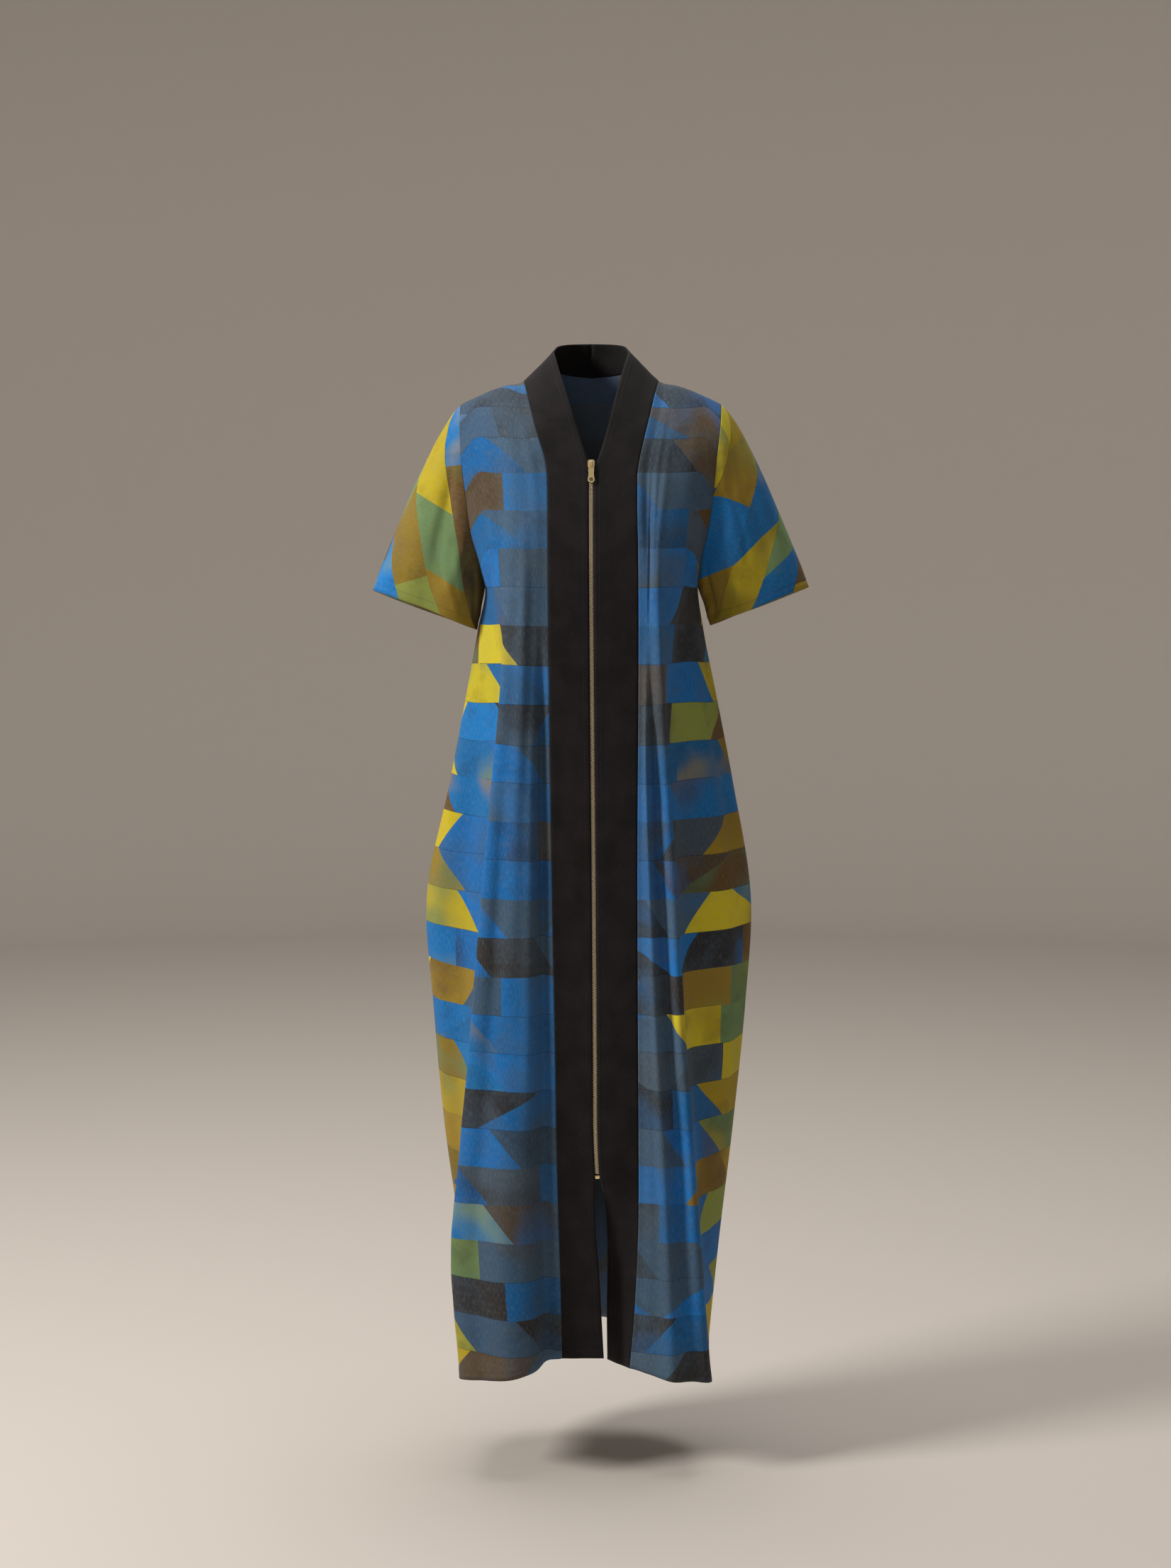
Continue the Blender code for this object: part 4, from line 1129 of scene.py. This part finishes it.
# %% [markdown]
# ## Noise, chance and colour
#
# Dye soaks in unevenly, and every patch of a print has a tone of its own. A noise texture gives the first, and
# white noise, one random value for each cell, gives the second. Colours are written as the 0 to 255 values of a
# screen, because they can be compared with a photo that way, and are turned into the linear values that light
# adds up in.

# %% Texture and colour helpers
def vector(x, y=0.0, z=0.0):
    """Three numbers as one vector; the first is a wire."""
    return out(node(x.tree, "CombineXYZ", None, X=x, Y=y, Z=z))


def noise(place, scale, detail=2.0, roughness=0.5):
    """Smooth noise from 0 to 1 at a place."""
    made = node(place.tree, "TexNoise", None, Vector=place, Scale=scale, Detail=detail, Roughness=roughness)
    return out(made, "Fac")


def chance(x, y, z):
    """White noise for a cell: its value and its three separate channels."""
    made = node(x.tree, "TexWhiteNoise", {"noise_dimensions": "3D"}, Vector=vector(x, y, z))
    parts = node(x.tree, "SeparateColor", None, Color=out(made, "Color"))
    return out(made, "Value"), out(parts, 0), out(parts, 1), out(parts, 2)


def smooth(value, low, high):
    """0 below low, 1 above high, with level ends; it falls where low is the greater."""
    return out(node(value.tree, "MapRange", {"interpolation_type": "SMOOTHSTEP"}, Value=value, From_Min=low,
                    From_Max=high))


def mix(share, a, b, way="MIX"):
    """Colour a with a share of colour b, mixed or put together another way."""
    tree = next(v.tree for v in (share, a, b) if isinstance(v, Wire))
    made = node(tree, "Mix", {"data_type": "RGBA", "blend_type": way})
    for k, value in ((0, share), (6, a), (7, b)):
        plug(made.inputs[k], value)
    return out(made, 2)


def colour(red, green, blue):
    """Linear colour from the 0 to 255 values of a screen."""
    parts = np.array([red, green, blue]) / 255
    linear = np.where(parts <= 0.04045, parts / 12.92, ((parts + 0.055) / 1.055) ** 2.4)
    return (*linear.tolist(), 1.0)


def steps(value, colours):
    """A colour ramp of even bands with hard borders."""
    made = node(value.tree, "ValToRGB", None, Fac=value)
    ramp = made.color_ramp
    ramp.interpolation = "CONSTANT"
    while len(ramp.elements) < len(colours):
        ramp.elements.new(0.5)
    for k, tone in enumerate(colours):
        ramp.elements[k].position = k / len(colours)
        ramp.elements[k].color = tone
    return out(made)


def group(name, inputs, outputs):
    """A node group with named numbers going in: its tree, those numbers as wires, and its output sockets."""
    tree = bpy.data.node_groups.new(name, "ShaderNodeTree")
    for word, value in inputs.items():
        tree.interface.new_socket(word, in_out="INPUT", socket_type="NodeSocketFloat").default_value = value
    for word, kind in outputs.items():
        tree.interface.new_socket(word, in_out="OUTPUT", socket_type="NodeSocket" + kind)
    given = tree.nodes.new("NodeGroupInput").outputs
    return tree, {word: Wire(given[word]) for word in inputs}, tree.nodes.new("NodeGroupOutput").inputs


print("middle grey of a screen is", round(colour(128, 128, 128)[0], 3), "in linear light")

# %% [markdown]
# ## Printed cloth
#
# The dress's cloth is printed with large mottled patches of colour in level courses. The design here is a
# plain one of its own: courses of patches with slanted or straight ends, at the same scale and in the same
# colours, cool ones by the zip and warm ones by the sides. A painted picture would need an image file. A node
# group works it out from the cloth's own distances instead, so it stays sharp and turns with the grain.

# %% Courses and patches
COURSE_HEIGHT, PATCH_WIDTH = 0.051, 0.105
# Courses rise and fall by half of this, in waves of about 1 / 7 m
WAVE_SCALE, WAVE_HEIGHT = 7.0, 0.012
# A border leans by -2 to 2 of these shares of a patch, rounded from chance times the spread
LEAN, SPREAD = 0.42, 3.4
LINE_WIDTH = 0.024


def courses(given):
    """Where a point lies in the design. The course is floor(along / height), and each course is shifted by
    chance. Its borders lean by chance, and the patch is the number of the border before the point."""
    cos, sin = maths("COSINE", given["Turn"]), maths("SINE", given["Turn"])
    u = given["Across"] * cos + given["Along"] * sin
    v = given["Along"] * cos - given["Across"] * sin
    v = v + (noise(vector(u, v, given["Seed"]), WAVE_SCALE, 1.0) - 0.5) * WAVE_HEIGHT
    level = v / given["Course"]
    course = maths("FLOOR", level)
    within = level - course
    shift = chance(course, given["Seed"], 3.0)[0]
    place = u / given["Patch"] + shift
    border = maths("ROUND", place)
    slant = maths("ROUND", (chance(border, course, given["Seed"])[1] - 0.5) * SPREAD) * LEAN
    past = place - border - slant * (within - 0.5)
    patch = border - maths("LESS_THAN", past, 0.0)
    middle = (patch + 0.5 - shift) * given["Patch"]
    return u, v, level, course, within, patch, middle


def course_line(u, v, level, within, seed):
    """1 on the thin, broken dark line between two courses."""
    edge = maths("MINIMUM", within, 1.0 - within)
    line = smooth(edge, noise(vector(u, v, seed), 60.0) * LINE_WIDTH, 0.004)
    shown = chance(maths("FLOOR", u * 6.0), maths("ROUND", level), 9.0)[0]
    return line * maths("GREATER_THAN", shown, 0.3)


print("courses are", COURSE_HEIGHT, "m high and patches", PATCH_WIDTH, "m wide")

# %% [markdown]
# ## The colours of the print
#
# Every patch takes a cool or a warm tone by chance, warm ones more often far from the zip. Over that come the
# marks of dye and wear: a second tone drifts in, the surface is rubbed to slate in places, dark clouds lie under
# it, and pale specks show the yarn. Beside the band, and down the back's middle, a slate wash is partly the
# print's own and partly painted shade. One flat colour for each patch would look like paper.

# %% The print as a node group
COOL = [colour(*tone) for tone in (
    (2, 104, 174), (58, 88, 118), (2, 110, 186), (70, 84, 98), (46, 43, 42),
    (2, 96, 158), (62, 92, 120), (84, 68, 48), (4, 106, 180), (40, 42, 48))]
WARM = [colour(*tone) for tone in (
    (204, 188, 28), (4, 102, 164), (134, 146, 62), (150, 122, 26), (4, 108, 176),
    (190, 170, 18), (100, 74, 30), (104, 132, 84), (172, 148, 18), (128, 106, 22))]
GREENER = [colour(*tone) for tone in (
    (134, 146, 62), (150, 122, 26), (84, 126, 92), (172, 148, 18), (100, 74, 30))]
RUBBED, SLATE_AND_SHADE_BY_THE_BAND = colour(66, 84, 100), colour(64, 84, 100)
DEEP, YARN = colour(40, 38, 40), colour(150, 156, 160)


def print_group():
    """The tone of each patch, then its drift, rubbing, dark clouds, own lightness and specks, one over another."""
    tree, given, result = group(
        "Patchwork print",
        dict(Across=0.0, Along=0.0, Span=0.2, Base=0.0, Turn=0.0, Seed=0.0, Course=COURSE_HEIGHT,
             Patch=PATCH_WIDTH),
        dict(Colour="Color", Line="Float"),
    )
    u, v, level, course, within, patch, middle = courses(given)
    share = given["Base"] + maths("ABSOLUTE", middle) / given["Span"]
    tone, which, light, other = chance(patch, course, given["Seed"] + 0.5)
    warm = maths("LESS_THAN", which, smooth(share, 0.42, 0.95))
    fill = mix(warm, steps(tone, COOL), steps(tone, WARM))
    second = mix(warm, steps(other, COOL), steps(other, GREENER))
    drift = noise(vector(u, v, patch), 9.0)
    fill = mix(smooth(drift, 0.46, 0.70) * 0.6, fill, second)
    cloud = noise(vector(u, v, course), 16.0, 4.0, 0.6)
    fill = mix(smooth(cloud, 0.42, 0.66) * (0.38 - warm * 0.28), fill, RUBBED)
    # A slate wash near a front's band seam, and by the same rule down the back's middle: partly the print's slate
    # and partly painted shade of the hollow beside the band
    inner = smooth(given["Base"] + maths("ABSOLUTE", u) / given["Span"], 0.34, 0.16)
    fill = mix(inner * 0.34, fill, SLATE_AND_SHADE_BY_THE_BAND)
    fill = mix(smooth(cloud, 0.50, 0.30) * 0.28, fill, DEEP)
    shade = light * 0.30 + 0.84
    fill = mix(1.0, fill, out(node(tree, "CombineColor", None, Red=shade, Green=shade, Blue=shade)), "MULTIPLY")
    speck = noise(vector(u, v * 0.25), 520.0, 3.0)
    fill = mix(smooth(speck, 0.40, 0.75) * 0.10, fill, YARN)
    plug(result["Colour"], fill)
    plug(result["Line"], course_line(u, v, level, within, given["Seed"]))
    return tree


PRINT = print_group()
print("the print has", len(PRINT.nodes), "nodes and", len(COOL) + len(WARM), "main tones")

# %% [markdown]
# ## Weave
#
# The cloth is a plain weave of uneven yarns, each going over one crossing yarn and under the next. Two sine waves
# multiplied give that checker of tiny hills, and long thin noise both ways gives the thicker yarns, the slubs.
# Real threads in the mesh would need millions of faces, so this relief only tilts the light, through a Bump node.

# %% The weave as a node group
def grain_group():
    """sin(2 pi across / pitch) sin(2 pi along / pitch), plus noise drawn out along each yarn."""
    tree, given, result = group(
        "Cloth grain", dict(Across=0.0, Along=0.0, Pitch=0.0009), dict(Relief="Float", Slub="Float"))
    across, along = given["Across"], given["Along"]
    turns = 2 * math.pi / given["Pitch"]
    crossings = maths("SINE", across * turns) * maths("SINE", along * turns)
    warp = noise(vector(across * 1500.0, along * 160.0), 1.0)
    weft = noise(vector(across * 160.0, along * 1300.0), 1.0, 1.0)
    plug(result["Relief"], crossings * 0.35 + (warp + weft))
    plug(result["Slub"], smooth(warp, 0.56, 0.80))
    return tree


GRAIN = grain_group()
print("the weave has", len(GRAIN.nodes), "nodes")

# %% [markdown]
# ## Cloth materials
#
# Thin woven cloth scatters light and hardly shines, so its roughness is high and a faint sheen stands for the
# fibres that stick up. The print and the dark band cloth share the weave group, and differ in their colours and
# in how fine they are. The reverse of a print is paler, because the dye is put on from the face.

# %% Printed cloth and band cloth
def shader(name, roughness, metallic=0.0, sheen=0.0, specular=0.4):
    """A material with its Principled shader, whose constants are set on the shader itself."""
    material = bpy.data.materials.new(name)
    material.use_nodes = True
    skin = material.node_tree.nodes["Principled BSDF"]
    skin.inputs["Roughness"].default_value = roughness
    skin.inputs["Metallic"].default_value = metallic
    skin.inputs["Sheen Weight"].default_value = sheen
    skin.inputs["Sheen Roughness"].default_value = 0.5
    skin.inputs["Specular IOR Level"].default_value = specular
    return material, material.node_tree, skin


def woven(name, pitch, sheen, specular, strength, depth):
    """A cloth material without its colour: the weave as relief, and the distances and slubs to colour it by."""
    material, tree, skin = shader(name, 0.88, sheen=sheen, specular=specular)
    parts = node(tree, "SeparateXYZ", None, Vector=out(node(tree, "UVMap", {"uv_map": "Cloth"})))
    u, v = out(parts, 0), out(parts, 1)
    grain = node(tree, "Group", {"node_tree": GRAIN}, Across=u, Along=v, Pitch=pitch)
    bump = node(tree, "Bump", None, Height=out(grain, "Relief"), Strength=strength, Distance=depth)
    plug(skin.inputs["Normal"], out(bump))
    return material, skin, u, v, out(grain, "Slub")


def printed(name, turn=0.0, base=0.0, seed=1.0, span=0.24, pale=0.0):
    """Printed cloth: the print, its thin dark lines and its pale slubs."""
    material, skin, u, v, slub = woven(name, pitch=0.0009, sheen=0.05, specular=0.25, strength=0.35, depth=0.00012)
    design = node(u.tree, "Group", {"node_tree": PRINT}, Across=u, Along=v, Span=span, Base=base, Turn=turn,
                  Seed=seed)
    fill = mix(out(design, "Line") * 0.5, out(design, "Colour"), colour(26, 26, 34))
    fill = mix(slub * 0.11, fill, colour(170, 170, 165))
    if pale:
        fill = mix(pale, fill, colour(150, 148, 145))
    plug(skin.inputs["Base Color"], fill)
    return material


def plain_cloth(name, main, other):
    """Plain dyed cloth with soft clouds of painted sheen and crease shade, and a finer weave."""
    material, skin, u, v, slub = woven(name, pitch=0.0008, sheen=0.06, specular=0.2, strength=0.3, depth=0.0001)
    # Soft clouds between the black and a lighter tone: painted sheen and crease shade
    fill = mix(smooth(noise(vector(u, v), 22.0, 3.0), 0.35, 0.7), main, other)
    plug(skin.inputs["Base Color"], mix(slub * 0.05, fill, colour(150, 140, 140)))
    return material


# The band's black, and the lighter tone of its painted sheen
black = plain_cloth("Band cloth", colour(17, 14, 15), colour(27, 23, 24))
print(black.name, "has", len(black.node_tree.nodes), "nodes")

# %% [markdown]
# ## Metal and thread
#
# The slider is brass with a bright plating, and the teeth are paler and duller. Handled metal has fine patches
# where the plating is worn, so a small noise changes its colour and its roughness together. Thread is a twist of
# fibres with painted shade in the gaps. Both read the object's own coordinates, as neither has a UV map.

# %% Metal and thread materials
def metal(name, bright, dull, roughness, scale):
    """Plated metal, a little duller and rougher in fine patches."""
    material, tree, skin = shader(name, roughness, metallic=1.0)
    worn = smooth(noise(out(node(tree, "TexCoord"), "Object"), scale), 0.4, 0.7)
    plug(skin.inputs["Base Color"], mix(worn, bright, dull))
    plug(skin.inputs["Roughness"], worn * 0.14 + roughness)
    return material


def thread(name, tone):
    """Sewing thread: its tone, and 0.6 of it as painted shade between the fibres."""
    material, tree, skin = shader(name, 0.6, sheen=0.2)
    # Where the noise is high, painted shade between the fibres
    fibres = smooth(noise(out(node(tree, "TexCoord"), "Object"), 5000.0), 0.3, 0.7)
    plug(skin.inputs["Base Color"], mix(fibres, tone, (*(0.6 * part for part in tone[:3]), 1.0)))
    return material


brass = metal("Brass", colour(244, 224, 172), colour(212, 184, 124), 0.36, 400.0)
pale_metal = metal("Zip teeth metal", colour(238, 222, 192), colour(200, 182, 150), 0.42, 900.0)
hem_thread, dark_thread = thread("Hem thread", colour(74, 70, 60)), thread("Dark thread", colour(40, 36, 38))
print("metals and threads:", brass.name, pale_metal.name, hem_thread.name, dark_thread.name)

# %% [markdown]
# ## Each piece gets its material
#
# A print is cut wherever the cloth lies, so no two pieces show the same part of it. Each piece has its own seed,
# and the sleeves are cut with the print turned and in its warm part. The Solidify modifier gives the inside of a
# piece the second material in its list, the reverse.

# %% Materials on pieces
PRINTS = {
    "front_right": dict(seed=17.0, span=0.23),
    "front_left": dict(seed=26.0, span=0.21),
    "back": dict(seed=3.0, span=0.29),
    "sleeve_right": dict(seed=38.0, turn=0.95, base=0.9),
    "sleeve_left": dict(seed=8.0, turn=0.80, base=0.9),
}


def dressed(obj, *materials):
    """The piece with these materials and no others."""
    obj.data.materials.clear()
    for material in materials:
        obj.data.materials.append(material)


for name, settings in PRINTS.items():
    word = name.replace("_", " ")
    reverse = printed("Print reverse " + word, pale=0.25, **settings)
    dressed(cloth[name], printed("Print " + word, **settings), reverse)
    cloth[name].modifiers["Thickness"].material_offset = 1
for obj in (cloth["band_right"], cloth["band_left"], tape):
    dressed(obj, black)
dressed(teeth, pale_metal)
for name in EDGE_RADIUS:
    dressed(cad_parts[name], brass)
for obj in threads:
    dressed(obj, dark_thread if obj.name.startswith("band") else hem_thread)
print("materials:", len(bpy.data.materials), "node groups:", len(bpy.data.node_groups))

# %% [markdown]
# ## Floor and backdrop
#
# A studio backdrop is a pale sheet that runs over the floor and bends up behind, so that no line shows where they
# meet. Here its profile goes all the way round, because the dress is looked at from every side. Cameras within
# the ring never see past it.

# %% A round backdrop
FLOOR = -1.506
FLAT_RADIUS, BEND_RADIUS, BACKDROP_HEIGHT = 5.5, 1.5, 5.0


def backdrop():
    """A profile of radius and height, flat, then a quarter turn, then upright, turned about the vertical."""
    bend = np.linspace(0, math.pi / 2, 16)
    radius = FLAT_RADIUS + np.concatenate([[-FLAT_RADIUS, 0.0], BEND_RADIUS * np.sin(bend), [BEND_RADIUS]])
    height = FLOOR + np.concatenate([[0.0, 0.0], BEND_RADIUS * (1 - np.cos(bend)), [BACKDROP_HEIGHT]])
    turn = np.linspace(0, 2 * math.pi, 129)[:, None]
    points = np.stack([radius * np.cos(turn), radius * np.sin(turn), height + 0 * turn], axis=-1)
    faces = quads_of(np.arange(points[..., 0].size).reshape(points.shape[:2]))[:, (0, 3, 2, 1)]
    mesh = bpy.data.meshes.new("backdrop")
    mesh.from_pydata(points.reshape(-1, 3).tolist(), [], faces.tolist())
    mesh.shade_smooth()
    obj = linked("backdrop", mesh)
    material, _, skin = shader("Backdrop", 0.95)
    skin.inputs["Base Color"].default_value = colour(206, 198, 190)
    dressed(obj, material)
    return obj


ground = backdrop()
print("the backdrop is", 2 * (FLAT_RADIUS + BEND_RADIUS), "m across")

# %% [markdown]
# ## Light
#
# In the photo one large soft light at the upper left shapes the folds. Here a weak one from the front keeps their
# shadows open, and one from above lights the shoulders and the floor. The larger a light is, the softer its
# shadows, so the size of these round area lights matters more than their exact place. A dim, even world stands
# for the light that comes back from the backdrop.

# %% Three lights and a dim world
def area_light(name, at, towards, size, power, tone):
    """A round light of this diameter at a place, turned towards a point."""
    data = bpy.data.lights.new(name, "AREA")
    data.shape, data.size, data.energy, data.color = "DISK", size, power, tone
    obj = linked(name, data)
    obj.location = at
    obj.rotation_euler = (Vector(towards) - Vector(at)).to_track_quat("-Z", "Y").to_euler()
    return obj


key = area_light("key_light", (-3.1, -1.6, 1.5), (0.0, 0.0, -0.5), 1.2, 148.0, (1.0, 0.97, 0.93))
fill_light = area_light("fill_light", (-0.6, -3.6, 0.9), (0.0, 0.0, -0.7), 2.0, 7.0, (0.95, 0.97, 1.0))
top_light = area_light("top_light", (0.0, 0.6, 3.3), (0.0, 0.6, 0.0), 3.0, 110.0, (1.0, 0.99, 0.97))
world = bpy.data.worlds.new("Studio")
world.use_nodes = True
sky = world.node_tree.nodes["Background"].inputs
sky["Color"].default_value = colour(225, 220, 214)
sky["Strength"].default_value = 0.20
bpy.context.scene.world = world
bpy.context.scene.view_settings.view_transform = "Standard"
print("lights:", [(light.name, light.data.energy) for light in (key, fill_light, top_light)])

# %% [markdown]
# ## Camera
#
# The camera stands where the photo's camera stood, worked out from the known sizes of the dress and the level
# from which its shoulders and hem are seen. A long lens from a few metres away keeps the dress in proportion, and
# a wide one close by would swell its middle.

# %% The photo's view
TILT = 4.4

camera = linked("camera", bpy.data.cameras.new("camera"))
camera.data.lens = 62.89
camera.location = (-0.0077, -3.7, -0.296)
camera.rotation_euler = (math.radians(90 - TILT), 0, 0)
bpy.context.scene.camera = camera
print("camera", tuple(round(c, 3) for c in camera.location), "lens", camera.data.lens)

# %% [markdown]
# ## Pieces on their solids
#
# Every piece has to stay on the solids it belongs to, because the collision walls come from them.
